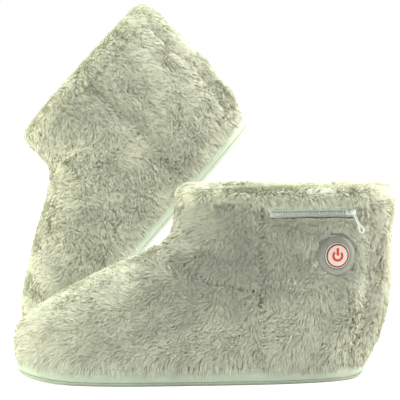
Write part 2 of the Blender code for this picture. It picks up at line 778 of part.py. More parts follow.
def tape_outline(pocket, sign):
    """A zip tape's outline with its row of teeth along the slit."""
    edge = ZIP_Z + sign * ZIP_SLIT / 2
    root = edge + sign * ZIP_TOOTH_DEPTH
    far = edge + sign * ZIP_TAPE_HEIGHT
    half = pocket.half
    teeth = int((2 * half - 2 * ZIP_TOOTH_PITCH - 2 * STOP_LENGTH) / ZIP_TOOTH_PITCH)
    first = -teeth * ZIP_TOOTH_PITCH / 2
    points = [(-half, far), (-half, root)]
    for tooth in range(teeth):
        start = first + tooth * ZIP_TOOTH_PITCH + (ZIP_TOOTH_PITCH - ZIP_TOOTH_WIDTH) / 2
        end = start + ZIP_TOOTH_WIDTH
        points += [(start, root), (start, edge), (end, edge), (end, root)]
    points += [(half, root), (half, far)]
    return points


def zip_parts(boot, quarter):
    """Tapes, slider, pull and end stop, and the window in the panel that they fill."""
    pocket = boot.pocket
    half = pocket.half
    window = block(boot, "zip_window_cutter", (-half - FIT_GAP, half + FIT_GAP),
                   (-LINING_OUTER, LINING_OUTER + ZIP_SINK),
                   (ZIP_Z - ZIP_SLIT / 2 - ZIP_TAPE_HEIGHT - FIT_GAP, BAND_Z + CUT_OVERRUN))
    cut(quarter, window)
    for name, sign in (("zip_tape_upper", 1), ("zip_tape_lower", -1)):
        extruded(boot, name, tape_outline(pocket, sign),
                 lambda across, up, level: pocket.point(across, level, up),
                 -ZIP_TAPE_THICKNESS / 2, ZIP_TAPE_THICKNESS / 2, ZIP_MINT)
    zip_slider(boot)
    zip_pull(boot)
    zip_stop(boot)


def slider_place(pocket):
    """The slider's centre at the closed end of the zip."""
    return pocket.half - STOP_LENGTH - SLIDER_LENGTH / 2


def pull_place(pocket):
    """The middle of the pull's pivot, on the slider's pin."""
    out = ZIP_TAPE_THICKNESS / 2 + FIT_GAP + SLIDER_PLATE + PULL_STANDOFF
    return pocket.point(slider_place(pocket), out + FIT_GAP, ZIP_Z)


def slider_outline():
    """The slider's section: two plates, joined by a neck that runs in the slit."""
    inside = ZIP_TAPE_THICKNESS / 2 + FIT_GAP
    outside = inside + SLIDER_PLATE
    side = SLIDER_WIDTH / 2
    neck = SLIDER_NECK / 2
    right = ((-outside, side), (-inside, side), (-inside, neck), (inside, neck),
             (inside, side), (outside, side))
    left = [(out, -up) for out, up in reversed(right)]
    return list(right) + left


def zip_slider(boot):
    """The slider, with the headed pin that carries the pull."""
    pocket = boot.pocket
    centre = slider_place(pocket)
    low, high = centre - SLIDER_LENGTH / 2, centre + SLIDER_LENGTH / 2
    slider = extruded(boot, "zip_slider", slider_outline(),
                      lambda out, up, level: pocket.point(level, out, ZIP_Z + up),
                      low, high, ZIP_METAL)
    plate = ZIP_TAPE_THICKNESS / 2 + FIT_GAP + SLIDER_PLATE / 2
    shoulder = plate + SLIDER_PLATE / 2 + PULL_STANDOFF
    neck_end = shoulder + PULL_THICKNESS + 2 * FIT_GAP
    head = neck_end + PULL_PIN_HEAD
    wide = PULL_PIN_RADIUS + PULL_PIN_SHOULDER
    pin = turned(boot, "slider_pin_cutter", (
        (0, head), (wide, head), (wide, neck_end), (PULL_PIN_RADIUS, neck_end),
        (PULL_PIN_RADIUS, shoulder), (wide, shoulder), (wide, plate), (0, plate)),
        pocket.point(centre, 0, ZIP_Z), pocket.out, None, SMALL_TURN_STEPS)
    cut(slider, pin, "UNION")
    place = pocket.point(centre, 0, ZIP_Z)
    slider.data.transform(Matrix.Translation(-place))
    slider.location = place
    return slider


def ring_points(radius, count):
    """Points round a circle."""
    return [(radius * math.cos(2 * math.pi * step / count),
             radius * math.sin(2 * math.pi * step / count)) for step in range(count)]


def pull_outline():
    """The pull: a ring round the pin, a narrow strip and a long loop at its free end."""
    ring = PULL_PIN_RADIUS + FIT_GAP + PULL_RIM
    strip = PULL_WIDTH / 2
    loop = PULL_LOOP_WIDTH / 2
    start = math.asin(strip / ring)
    outline = []
    for step in range(PULL_RING_STEPS + 1):
        angle = start + (2 * math.pi - 2 * start) * step / PULL_RING_STEPS
        outline.append((ring * math.cos(angle), ring * math.sin(angle)))
    neck = PULL_LENGTH - PULL_LOOP_LENGTH
    outline += [(neck, -strip), (neck + strip, -loop), (PULL_LENGTH - loop / 2, -loop),
                (PULL_LENGTH, -loop / 2), (PULL_LENGTH, loop / 2),
                (PULL_LENGTH - loop / 2, loop), (neck + strip, loop), (neck, strip)]
    return outline


def zip_pull(boot):
    """The pull that hangs from the slider's pin and swings against the shaft."""
    pocket = boot.pocket
    rim = PULL_RIM
    loop = PULL_LOOP_WIDTH / 2 - rim
    neck = PULL_LENGTH - PULL_LOOP_LENGTH + rim
    slot = [(neck + loop, -loop), (PULL_LENGTH - rim, -loop), (PULL_LENGTH - rim, loop),
            (neck + loop, loop)]
    data = bpy.data.curves.new(boot.name + "_zip_pull", "CURVE")
    data.dimensions = "2D"
    data.fill_mode = "BOTH"
    data.extrude = PULL_THICKNESS / 2
    eye = ring_points(PULL_PIN_RADIUS + FIT_GAP, SMALL_TURN_STEPS)
    for points in (pull_outline(), eye, slot):
        spline = data.splines.new("POLY")
        spline.points.add(len(points) - 1)
        for corner, (across, up) in zip(spline.points, points):
            corner.co = (across, up, 0, 1)
        spline.use_cyclic_u = True
    pull = boot.adopt(bpy.data.objects.new(data.name, data), ZIP_METAL)
    hang = pocket.along * math.cos(PULL_HANG_ANGLE) - Vector((0, 0, math.sin(PULL_HANG_ANGLE)))
    across = pocket.out.cross(hang)
    turn = Matrix((hang, across, pocket.out)).transposed()
    pull.matrix_local = (Matrix.Translation(pull_place(pocket) + pocket.out * PULL_THICKNESS / 2)
                         @ turn.to_4x4())
    return pull


def zip_stop(boot):
    """The clip over both rows at the open end, which the slider comes to rest against."""
    pocket = boot.pocket
    low = -pocket.half
    inside = ZIP_TAPE_THICKNESS / 2 + FIT_GAP
    outside = inside + STOP_THICKNESS / 3
    side = ZIP_SLIT / 2 + ZIP_TOOTH_DEPTH + STOP_LENGTH / 2
    neck = ZIP_SLIT / 2 - FIT_GAP
    right = ((-outside, side), (-inside, side), (-inside, neck), (inside, neck),
             (inside, side), (outside, side))
    outline = list(right) + [(out, -up) for out, up in reversed(right)]
    extruded(boot, "zip_end_stop", outline,
             lambda out, up, level: pocket.point(level, out, ZIP_Z + up),
             low, low + STOP_LENGTH, ZIP_METAL)


def pocket_parts(boot, button_axis):
    """The cloth bag behind the panel and the battery pack in it."""
    pocket = boot.pocket
    half = pocket.half
    front, back = pocket.front_wall, pocket.back_wall
    inner_top = BAND_Z - FIT_GAP
    wall = POCKET_WALL
    bag = block(boot, "pocket_bag", (-half, half), (back, front),
                (POCKET_BOTTOM_Z, inner_top), POCKET_CLOTH)
    hollow = block(boot, "bag_hollow_cutter", (wall - half, half - wall),
                   (back + wall, front - wall), (POCKET_BOTTOM_Z + wall, inner_top + CUT_OVERRUN))
    cut(bag, hollow)
    mouth = block(boot, "bag_mouth_cutter", (-half - CUT_OVERRUN, half + CUT_OVERRUN),
                  (front - wall - FIT_GAP, front + CUT_OVERRUN),
                  (ZIP_Z - ZIP_SLIT / 2 - ZIP_TAPE_HEIGHT - 2 * FIT_GAP, inner_top + CUT_OVERRUN))
    cut(bag, mouth)
    cut(bag, button_axis)
    lead_hole = turned(boot, "lead_hole_cutter", (
        (0, CUT_OVERRUN), (LEAD_DIAMETER, CUT_OVERRUN), (LEAD_DIAMETER, -CUT_OVERRUN),
        (0, -CUT_OVERRUN)), lead_drop(boot), Vector((0, 0, 1)), None, SMALL_TURN_STEPS)
    cut(bag, lead_hole)
    battery(boot)


def lead_drop(boot):
    """Where the heater lead leaves the pocket through the bag's floor."""
    pocket = boot.pocket
    along, _, _ = pocket.coordinates(button_place(boot)[0])
    return pocket.point(along, (pocket.front_wall + pocket.back_wall) / 2,
                        POCKET_BOTTOM_Z + POCKET_WALL / 2)


def battery_limits(pocket):
    """The battery pack's limits in the pocket's frame."""
    start = -pocket.half + POCKET_WALL + 2 * FIT_GAP
    base = POCKET_BOTTOM_Z + POCKET_WALL + FIT_GAP
    back = pocket.back_wall + POCKET_WALL + FIT_GAP
    return ((start, start + BATTERY_WIDTH), (back, back + BATTERY_DEPTH),
            (base, base + BATTERY_HEIGHT))


def battery(boot):
    """Case, cover, cell and board of the battery pack."""
    along, out, height = battery_limits(boot.pocket)
    wall = BATTERY_WALL
    seam = out[1] - BATTERY_COVER
    case = block(boot, "battery_case", along, (out[0], seam - FIT_GAP), height, PACK_BLACK)
    hollow = block(boot, "case_hollow_cutter", (along[0] + wall, along[1] - wall),
                   (out[0] + wall, seam + CUT_OVERRUN), (height[0] + wall, height[1] - wall))
    cut(case, hollow)
    block(boot, "battery_cover", along, (seam, out[1]), height, PACK_BLACK)
    gap = wall + FIT_GAP
    ledge = height[1] - gap - BATTERY_BOARD_HEIGHT
    inside = (along[0] + gap, along[1] - gap)
    block(boot, "battery_cell", inside, (out[0] + gap, seam - FIT_GAP),
          (height[0] + gap, ledge - FIT_GAP), CELL_BLUE)
    block(boot, "battery_board", inside, (out[0] + gap, out[0] + gap + BATTERY_BOARD_THICKNESS),
          (ledge, height[1] - gap), BOARD_GREEN)


def turned(boot, name, profile, place, axis, surface, steps=TURN_STEPS):
    """A turned piece or cutter about an axis; its profile runs down its outer side."""
    data = bpy.data.meshes.new(boot.name + "_" + name)
    data.from_pydata([(radius, 0, height) for radius, height in profile],
                     [(corner, corner + 1) for corner in range(len(profile) - 1)], [])
    thing = boot.adopt(bpy.data.objects.new(data.name, data), surface)
    thing.matrix_local = Matrix.Translation(place) @ axis.to_track_quat("Z", "Y").to_matrix().to_4x4()
    screw = thing.modifiers.new("Screw", "SCREW")
    screw.steps = steps
    screw.render_steps = steps
    screw.use_merge_vertices = True
    screw.merge_threshold = MERGE_DISTANCE
    return thing


def button_place(boot):
    """The button's centre on the panel's outer face, and its axis outwards."""
    ring = ring_at_height(BUTTON_Z)
    angle = angle_at_x(ring, BUTTON_X)
    centre = boot.surface(ring, angle, 0)
    axis = (centre - boot.surface(ring, angle, PANEL_THICKNESS)).normalized()
    return centre, axis


def button_cutter(boot):
    """The hole for the button's barrel, through the panel and the bag's front wall."""
    centre, axis = button_place(boot)
    radius = BARREL_RADIUS + FIT_GAP
    depth = BARREL_DEPTH + FIT_GAP
    return turned(boot, "button_cutter", (
        (0, CUT_OVERRUN), (radius, CUT_OVERRUN), (radius, -depth), (0, -depth)),
        centre, axis, None)


def button(boot):
    """The button's housing with its bezel, the cap that is pressed and the switch board."""
    centre, axis = button_place(boot)
    well = CAP_RADIUS + FIT_GAP
    floor = -BARREL_DEPTH + BARREL_FLOOR
    top = BEZEL_SEAT + BEZEL_HEIGHT
    turned(boot, "button_housing", (
        (0, floor), (well, floor), (well, top - BEZEL_LIP), (well + BEZEL_LIP, top),
        (well + 3 * BEZEL_LIP, top),
        ((well + BEZEL_RADIUS) / 2, (top + BEZEL_RIM) * BEZEL_SLOPE_SHARE),
        (BEZEL_RADIUS - BEZEL_LIP, BEZEL_SEAT + BEZEL_RIM), (BEZEL_RADIUS, BEZEL_SEAT + BEZEL_LIP),
        (BEZEL_RADIUS, BEZEL_SEAT), (BARREL_RADIUS, BEZEL_SEAT), (BARREL_RADIUS, -BARREL_DEPTH),
        (0, -BARREL_DEPTH)), centre, axis, BEZEL_GREY)
    cap_top = top + CAP_RISE
    cap_base = cap_top - CAP_DEPTH
    turned(boot, "button_cap", (
        (0, cap_top), (CAP_RADIUS / 2, cap_top - CAP_CROWN / 4),
        (CAP_RADIUS - CAP_CROWN * 2, cap_top - CAP_CROWN),
        (CAP_RADIUS, cap_top - CAP_CROWN * 2), (CAP_RADIUS, cap_base),
        (CAP_STEM_RADIUS, cap_base), (CAP_STEM_RADIUS, cap_base - CAP_STEM),
        (0, cap_base - CAP_STEM)), centre, axis, CAP_WHITE)
    board = floor + FIT_GAP
    board_top = board + BOARD_DISC_THICKNESS
    switch_top = cap_base - CAP_STEM - CAP_TRAVEL - FIT_GAP
    body_top = switch_top - SWITCH_PLUNGER_HEIGHT
    turned(boot, "switch_board", (
        (0, switch_top), (SWITCH_PLUNGER_RADIUS, switch_top), (SWITCH_PLUNGER_RADIUS, body_top),
        (SWITCH_RADIUS, body_top), (SWITCH_RADIUS, board_top), (CAP_RADIUS, board_top),
        (CAP_RADIUS, board), (0, board)), centre, axis, BOARD_GREEN)


def leads(boot):
    """The battery's lead to the button, and the heater's lead down to the heating pad."""
    pocket = boot.pocket
    along, out, height = battery_limits(pocket)
    button_along, _, button_z = pocket.coordinates(button_place(boot)[0])
    depth = (out[0] + out[1]) / 2
    barrel = BARREL_RADIUS + FIT_GAP
    start = along[1] - BATTERY_LEAD_DIAMETER * 3
    near = pocket.front_wall - POCKET_WALL - FIT_GAP - BATTERY_LEAD_DIAMETER / 2
    radius = BATTERY_LEAD_DIAMETER
    rise = BATTERY_LEAD_RISE
    route = (pocket.point(start, depth, height[1] + FIT_GAP),
             pocket.point(start + radius / 4, depth, height[1] + rise / 2),
             pocket.point(start + radius * 2, depth, height[1] + rise),
             pocket.point((start + button_along) / 2, (depth + near) / 2, height[1] + rise),
             pocket.point(button_along - radius, near, height[1] + rise / 3),
             pocket.point(button_along, near, (height[1] + button_z + barrel) / 2),
             pocket.point(button_along, near, button_z + barrel + FIT_GAP))
    tube(boot, "battery_lead", smooth_route(route, LEAD_STEPS), BATTERY_LEAD_DIAMETER, LEAD_BLACK)
    heater_lead(boot, button_along, near, button_z - barrel - FIT_GAP)


def heater_lead(boot, along, near, start_z):
    """The lead from the button through the bag's floor, down the wadding and under the cover."""
    pocket = boot.pocket
    drop = lead_drop(boot)
    depth = PANEL_THICKNESS + WADDING_SPACE / 2
    radius = LEAD_DIAMETER / 2
    floor_z = PAD_Z + radius + 2 * FIT_GAP
    low_ring = ring_at_height(floor_z + 4 * LEAD_DIAMETER)
    middle_ring = (low_ring + ring_at_height(POCKET_BOTTOM_Z)) / 2
    high_ring = ring_at_height(POCKET_BOTTOM_Z - 6 * LEAD_DIAMETER)
    edge = boot.surface(0, angle_at_x(0, drop.x), depth)
    inside_y = edge.y - boot.outer_sign * (LINING_INNER + 2 * LEAD_DIAMETER)
    pad_edge = Vector((PAD_BACK_X + FIT_GAP, inside_y / 2, floor_z))
    route = (pocket.point(along, near, start_z),
             Vector((drop.x, drop.y, (start_z + drop.z) / 2)),
             drop + Vector((0, 0, LEAD_DIAMETER)),
             drop - Vector((0, 0, 2 * LEAD_DIAMETER)),
             boot.surface(high_ring, angle_at_x(high_ring, drop.x), depth),
             boot.surface(middle_ring, angle_at_x(middle_ring, drop.x), depth),
             boot.surface(low_ring, angle_at_x(low_ring, drop.x), depth),
             Vector((drop.x, edge.y - boot.outer_sign * LEAD_DIAMETER, floor_z)),
             Vector((drop.x - 2 * LEAD_DIAMETER, inside_y, floor_z)),
             Vector(((drop.x + pad_edge.x) / 2, (inside_y + pad_edge.y) / 2, floor_z)),
             pad_edge)
    tube(boot, "heater_lead", smooth_route(route, LEAD_STEPS), LEAD_DIAMETER, LEAD_BLACK)


def build_boot(name, outer_sign, parts, cutters):
    """All the pieces of one boot."""
    boot = Boot(name, outer_sign, parts, cutters)
    sole(boot)
    footbed(boot)
    quarter = uppers(boot)
    zip_parts(boot, quarter)
    hole = button_cutter(boot)
    cut(quarter, hole)
    pocket_parts(boot, hole)
    button(boot)
    leads(boot)
    return boot


def lowest_point(boot, turn):
    """How far below its own origin the lowest point of a turned boot's outsole lies."""
    levels = (sole_level(boot, SOLE_EDGE_ROUND, 0),
              sole_level(boot, SOLE_EDGE_ROUND / 3, OUTSOLE_THICKNESS / 2),
              sole_level(boot, 0, OUTSOLE_THICKNESS))
    lowest = 0.0
    for outline, z in levels:
        for step in range(SOLE_STATIONS):
            x, y = outline(2 * math.pi * step / SOLE_STATIONS)
            lowest = min(lowest, (turn @ Vector((x, y, z + spring(x, z)))).z)
    return lowest


def main():
    for thing in list(bpy.data.objects):
        bpy.data.objects.remove(thing, do_unlink=True)
    scene = bpy.context.scene.collection
    parts = bpy.data.collections.new("heated_slipper_boots")
    cutters = bpy.data.collections.new("cutters")
    scene.children.link(parts)
    scene.children.link(cutters)
    build_boot("left", -1, parts, cutters)
    right = build_boot("right", 1, parts, cutters)
    turn = RIGHT_TURN.to_matrix()
    right.empty.rotation_euler = RIGHT_TURN
    right.empty.location = (RIGHT_X, RIGHT_Y, -lowest_point(right, turn))


main()
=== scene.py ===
"""Dresses a pair of plush foot-warmer boots: pile, soles, zip, slider, pull and heating button.

Every piece is made in the left boot's frame. For the right boot it is mirrored and set down
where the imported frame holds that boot.
"""
import json
import math

import bmesh
import bpy
import numpy as np
from mathutils import Matrix, Vector
from mathutils.bvhtree import BVHTree
from mathutils.kdtree import KDTree


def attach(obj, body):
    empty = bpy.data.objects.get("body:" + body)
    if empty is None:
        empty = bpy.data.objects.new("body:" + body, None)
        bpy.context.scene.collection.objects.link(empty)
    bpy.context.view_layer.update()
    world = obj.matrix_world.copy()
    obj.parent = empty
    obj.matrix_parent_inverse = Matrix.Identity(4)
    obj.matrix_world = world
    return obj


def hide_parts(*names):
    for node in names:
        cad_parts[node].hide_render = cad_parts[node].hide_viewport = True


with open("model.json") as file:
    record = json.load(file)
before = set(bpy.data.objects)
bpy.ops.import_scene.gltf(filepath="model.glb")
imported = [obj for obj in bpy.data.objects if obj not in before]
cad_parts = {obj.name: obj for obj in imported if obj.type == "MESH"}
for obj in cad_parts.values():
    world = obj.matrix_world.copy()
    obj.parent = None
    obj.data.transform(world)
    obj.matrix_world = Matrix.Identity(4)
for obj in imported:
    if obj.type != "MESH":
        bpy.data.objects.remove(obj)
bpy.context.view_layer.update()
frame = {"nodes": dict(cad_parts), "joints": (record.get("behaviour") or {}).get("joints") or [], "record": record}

bl_info = {
    "name": "Plush Foot Warmer Boots",
    "version": (1, 0, 0),
    "blender": (4, 5, 0),
    "location": "3D View > Sidebar > Boots",
    "description": "Dresses a pair of heated plush boots around their packed frame",
    "category": "Object",
}

MM = 0.001
SIDES = ("left", "right")
JOINTS = {entry["name"]: entry for entry in frame["joints"]}
MOUNTS = {entry["name"]: entry for entry in frame["record"]["mounts"]}
PILE_MAP = "OFBake"

# The boot's hollow, in the left boot's frame: the shaft's axis, the foot's axis and the instep.
SHAFT_MIDDLE = Vector((78 * MM, 0, 0))
FOOT_AXIS_Z = 38 * MM
FOOT_FRONT_X = -105 * MM
FOOT_BACK_X = 120 * MM
INSTEP_X = -8 * MM

# How far each panel's middle is quilted out, in mm, and how deep its seams lie.
PUFFS = {"vamp": -1.4, "shaft_front": 1.5, "lateral_quarter": 1.5, "medial_quarter": 2.5,
         "heel_panel": 4.0}
PANEL_SEAM, PANEL_REACH = -0.5 * MM, 14 * MM
COLLAR_PUFF, COLLAR_SEAM, COLLAR_REACH = 1.4 * MM, -0.8 * MM, 7 * MM
SOLE_SINK = 0.5 * MM
CLOTH_THICKNESS = 0.8 * MM

# The pile's turn wanders in swells of two sizes. Its turn, lean and tone also differ from tuft
# to tuft and from strand to strand, and a ribbon's twist keeps it visible from the side.
SWIRLS = ((0.5, 34 * MM), (0.28, 12 * MM))
TURN_SPREAD, LEAN_SPREAD, TONE_SPREAD = (0.14, 0.34), (0.05, 0.13), (0.05, 0.14)
LENGTH_RANGE, TUFT_LENGTH_RANGE = (0.8, 1.06), (0.93, 1.07)
LEAN_RANGE = (0.3, 1.4)
ROOT_BEND, TIP_BEND = -0.4, 0.22
MIDDLE_GATHER, TIP_GATHER = 0.05, 0.14
TWIST = 0.75
SHORTEST_STRAND = 0.8 * MM
FLOOR_CLEARANCE = 0.2 * MM

# Where a strand's five corners lie on its map: across from its tone, and up its length.
STRAND_EDGE = np.array((-0.012, 0.012, -0.012, 0.012, 0.0))
STRAND_RISE = np.array((0.02, 0.02, 0.5, 0.5, 0.98))

# How the pile lies at the seams, over the sole's lip, and around the zip and the button.
SEAM_FLOOR_Z = 26 * MM
SEAM_REACH, SEAM_PULL = 6 * MM, 0.9
SOLE_LIP_Z, SOLE_LIP_FALL = 30 * MM, 12 * MM
OVER_ZIP, UNDER_ZIP, BEFORE_ZIP = 4.5 * MM, 3.4 * MM, 5 * MM
OVER_BEZEL, BEZEL_HUG = 5.5 * MM, 5 * MM

# The zip's tape with its ribs, and each tooth of its coil.
TAPE_THICKNESS, RIB_DEPTH = 2 * MM, 0.28 * MM
TOOTH_DEPTH, TOOTH_HEIGHT, TOOTH_ROUNDING = 1.1 * MM, 2.3 * MM, 0.3 * MM
TOOTH_FILL = 0.62

# Radii and heights in mm of the button's ring with its housing, of its cap, and of its print.
BEZEL_PROFILE = (
    (0, -8.9), (10.7, -8.9), (10.7, 4.75), (10.85, 5.1), (11.2, 5.3), (12.0, 5.35),
    (12.35, 5.2), (12.5, 4.9), (12.9, 4.85), (14.1, 4.55), (15.1, 4.05), (15.5, 3.8),
    (15.6, 3.35), (15.95, 3.3), (16.05, 3.45), (16.6, 2.95), (17.1, 2.35), (17.4, 1.9),
    (17.5, 1.5), (17.5, 1.1), (13.2, 1.1), (13.2, -10), (0, -10))
CAP_PROFILE = (
    (0, 0), (2, 0), (2, 1.5), (10.4, 1.5), (10.4, 5.55), (10.3, 5.85), (10.0, 6.08),
    (9.4, 6.2), (8.0, 6.34), (5.2, 6.55), (2.6, 6.66), (0, 6.7))
CROWN_HEIGHT, CROWN_CURVE = 6.7, 0.5 / 88
PRINT_TOP, PRINT_ROOT = 0.12, -0.1
PRINT_RING = (8.5, 9.7)
PRINT_STROKE = 2.0

# The camera fitted to the photo, and each soft light's place, power in watts and colour.
CAMERA_PLACE = Vector((-0.092, -1.463, 0.2365))
CAMERA_RIGHT = Vector((0.9977, -0.0680, 0.0))
CAMERA_FORWARD = Vector((0.0679, 0.9959, -0.0602))
CAMERA_LENS = 158.8
LIGHT_AIM = Vector((0, 0.1, 0.12))
LIGHT_SIZE = 1.2
WHITE = (1.0, 1.0, 1.0, 1.0)
SOFTBOXES = (("left", (-1.4, 0.0, 0.5), 20.5, "#FFFAE2"),
             ("right", (1.4, -0.2, 0.5), 14, "#FFF6EC"),
             ("right_back", (1.4, 0.9, 0.6), 8, "#FAFFF0"),
             ("top_right", (1.0, 0.5, 1.3), 10.5, "#FFF6E2"),
             ("top", (0.0, 0.1, 1.6), 21, "#F8FDF8"))


def linear(hex_colour):
    """Turn an sRGB hex value to linear red, green, blue and a full alpha."""
    shares = [int(hex_colour[place:place + 2], 16) / 255 for place in (1, 3, 5)]
    return tuple(share / 12.92 if share <= 0.04045 else ((share + 0.055) / 1.055) ** 2.4
                 for share in shares) + (1.0,)


def pocket_axes(side):
    """Directions along the zip towards the heel, out of the shaft, and up the boot."""
    along = -Vector(JOINTS[side + "_zip_slide"]["axis"])
    out = Vector(JOINTS[side + "_zip_pull_swing"]["axis"])
    up = -Vector(MOUNTS[side + "_sole_base"]["axis"])
    return Matrix((along, out, up)).transposed()


def left_places(node):
    """Where the corners of a left node's solid are."""
    return np.array([vertex.co for vertex in frame["nodes"]["left_" + node].data.vertices])


def button_place():
    """The matrix whose Z leaves the left button outwards, from the middle of its cap."""
    out = -Vector(JOINTS["left_heating_button_press"]["axis"])
    corners = [Vector(corner) for corner in left_places("button_cap")]
    low = min(corner.dot(out) for corner in corners)
    rounded = {tuple(round(value, 5) for value in corner) for corner in corners}
    middle = sum((Vector(corner) for corner in rounded), Vector()) / len(rounded)
    middle += out * (low - middle.dot(out))
    boot_up = Vector(pocket_axes("left").col[2])
    up = (boot_up - out * boot_up.dot(out)).normalized()
    turn = Matrix((up.cross(out), up, out)).transposed()
    return Matrix.Translation(middle) @ turn.to_4x4()


RIGHT_TURN = pocket_axes("right") @ pocket_axes("left").inverted()
RIGHT_PLACE = Vector(MOUNTS["right_sole_base"]["pos_m"])
PLACES = {"left": Matrix.Identity(4),
          "right": Matrix.Translation(RIGHT_PLACE) @ RIGHT_TURN.to_4x4()}
HEM_Z, RIM_Z = left_places("collar_band")[:, 2].min(), left_places("collar_band")[:, 2].max()
BUTTON = button_place()
BUTTON_RADIUS = max((BUTTON.inverted() @ Vector(corner)).xy.length
                    for corner in left_places("button_housing"))


def length_property(name, description, length):
    return bpy.props.FloatProperty(name=name, description=description, default=length * MM,
                                   unit="LENGTH")


def colour_property(name, description, colour):
    return bpy.props.FloatVectorProperty(name=name, description=description, subtype="COLOR",
                                         size=4, default=linear(colour), min=0, max=1)


class BootSizes(bpy.types.PropertyGroup):
    """Sizes of the pile, the zip and the button's symbol."""

    pile_length: length_property("Pile Length", "Length of a strand of the outer pile", 6.8)
    pile_width: length_property(
        "Strand Width", "Width of a strand at its root, a bundle of real fibres", 0.66)
    pile_spacing: length_property(
        "Strand Spacing", "Distance from one strand's root to the next", 0.74)
    tuft_spacing: length_property(
        "Tuft Spacing", "Distance from one tuft of pile to the next", 5.0)
    lining_length: length_property("Lining Pile Length", "Length of a strand of the lining", 7.0)
    lining_spacing: length_property(
        "Lining Strand Spacing", "Distance between strands of the lining", 1.3)
    tooth_pitch: length_property(
        "Tooth Pitch", "Distance from one turn of the zip's coil to the next", 1.5)
    tape_rib: length_property(
        "Tape Rib", "Distance from one rib of the zip tape to the next", 0.9)
    symbol_width: length_property("Symbol Width", "Width of the power symbol on the button", 9.6)


class BootColours(bpy.types.PropertyGroup):
    """Base colours of the boots."""

    pile_tip: colour_property("Pile Tip", "Colour of the pile at its tips", "#EFF4E1")
    # The roots' colour is darker than the tips' as painted shade; the cloth under the pile takes it too.
    pile_root_shade: colour_property("Pile Root", "Colour of the pile at its roots", "#E2E4D0")
    pile_cool: colour_property("Cool Pile", "Colour of the greyer tufts", "#BFC6B8")
    sole: colour_property("Sole", "Colour of the moulded foam sole", "#D1DFCD")
    zip_tape: colour_property("Zip Tape", "Colour of the woven zip tape", "#F4FDF6")
    bezel: colour_property("Bezel", "Colour of the button's ring", "#8E918A")
    symbol: colour_property("Symbol", "Colour of the button's symbol and ring", "#D02A0C")


def sizes():
    return bpy.context.scene.boot_sizes


def colours():
    return bpy.context.scene.boot_colours


def add(tree, kind, values=(), links=(), **settings):
    """Add a node with its settings, its sockets' values and the links into them."""
    made = tree.nodes.new(kind)
    for name, value in settings.items():
        setattr(made, name, value)
    for socket, value in values:
        made.inputs[socket].default_value = value
    for socket, source in links:
        tree.links.new(source, made.inputs[socket])
    return made


def start_material(name, **values):
    """A new material whose shader's own sockets are set; returns it, its tree and its shader."""
    made = bpy.data.materials.new(name)
    made.use_nodes = True
    tree = made.node_tree
    shader = tree.nodes["Principled BSDF"]
    for socket, value in values.items():
        shader.inputs[socket.replace("_", " ")].default_value = value
    return made, tree, shader


def ramp(tree, source, stops):
    """A colour ramp on a source, from places and colours."""
    made = add(tree, "ShaderNodeValToRGB", links=((0, source),))
    elements = made.color_ramp.elements
    while len(elements) < len(stops):
        elements.new(0.5)
    for element, (place, colour) in zip(elements, stops):
        element.position = place
        element.color = colour
    return made.outputs["Color"]


def grain(tree, feature, detail=3.0):
    """Noise on Object coordinates whose features have a real size."""
    place = add(tree, "ShaderNodeTexCoord").outputs["Object"]
    made = add(tree, "ShaderNodeTexNoise", values=(("Scale", 1 / feature), ("Detail", detail)),
               links=(("Vector", place),))
    return made.outputs["Fac"]


def bump(tree, shader, height, depth):
    """Bump a shader by a height map whose full range is a real depth."""
    made = add(tree, "ShaderNodeBump", values=(("Strength", 1.0), ("Distance", depth)),
               links=(("Height", height),))
    tree.links.new(made.outputs["Normal"], shader.inputs["Normal"])


def mottle(tree, shader, source, low, high, dark, colour):
    """Colour a shader between a darker share of a colour and the colour, along a source."""
    tone = ramp(tree, source, ((low, shaded(colour, dark)), (high, colour)))
    tree.links.new(tone, shader.inputs["Base Color"])


def shaded(colour, share):
    """A colour made darker or lighter by a share."""
    return tuple(min(1.0, channel * share) for channel in colour[:3]) + (1.0,)


def faux_fur(name):
    """Polyester faux fur, tufted and brushed: soft sheen, painted shade at the roots, uneven tufts.

    The pile's map holds each strand's tone across and its length from root to tip upwards.
    """
    tip, root, cool = colours().pile_tip, colours().pile_root_shade, colours().pile_cool
    made, tree, shader = start_material(name, Roughness=0.82, IOR=1.46, Sheen_Weight=1.0,
                                        Sheen_Roughness=0.5, Sheen_Tint=linear("#FBFBE9"))
    place = add(tree, "ShaderNodeUVMap", uv_map=PILE_MAP)
    split = add(tree, "ShaderNodeSeparateXYZ", links=((0, place.outputs["UV"]),))
    # Tone goes from cool grey to a lighter tip: it differs at random, and the lifts' painted shade and highlight
    # move it.
    tone = ramp(tree, split.outputs["X"], ((0.0, cool), (0.4, tip), (1.0, shaded(tip, 1.1))))
    # Painted shade: the roots are painted darker, where the strands shade each other.
    base = ramp(tree, split.outputs["X"], ((0.0, shaded(root, 0.92)), (1.0, root)))
    rise = ramp(tree, split.outputs["Y"], ((0.0, (0, 0, 0, 1)), (0.7, WHITE)))
    mixed = add(tree, "ShaderNodeMix", data_type="RGBA",
                links=((0, rise), (6, base), (7, tone)))
    tree.links.new(mixed.outputs[2], shader.inputs["Base Color"])
    return made


def knitted_backing(name, colour):
    """Polyester knit that the pile stands on, matt and a little uneven."""
    made, tree, shader = start_material(name, Roughness=0.92, IOR=1.46, Sheen_Weight=0.2)
    knit = grain(tree, 1.6 * MM)
    mottle(tree, shader, knit, 0.3, 0.7, 0.75, colour)
    bump(tree, shader, knit, 0.5 * MM)
    return made


def moulded_foam(name, colour):
    """Moulded EVA foam: matt, with the fine pores and faint scuffs of its skin."""
    made, tree, shader = start_material(name, Roughness=0.55, IOR=1.48)
    mottle(tree, shader, grain(tree, 22 * MM), 0.3, 0.7, 0.9, colour)
    bump(tree, shader, grain(tree, 0.8 * MM, 2.0), 0.08 * MM)
    return made


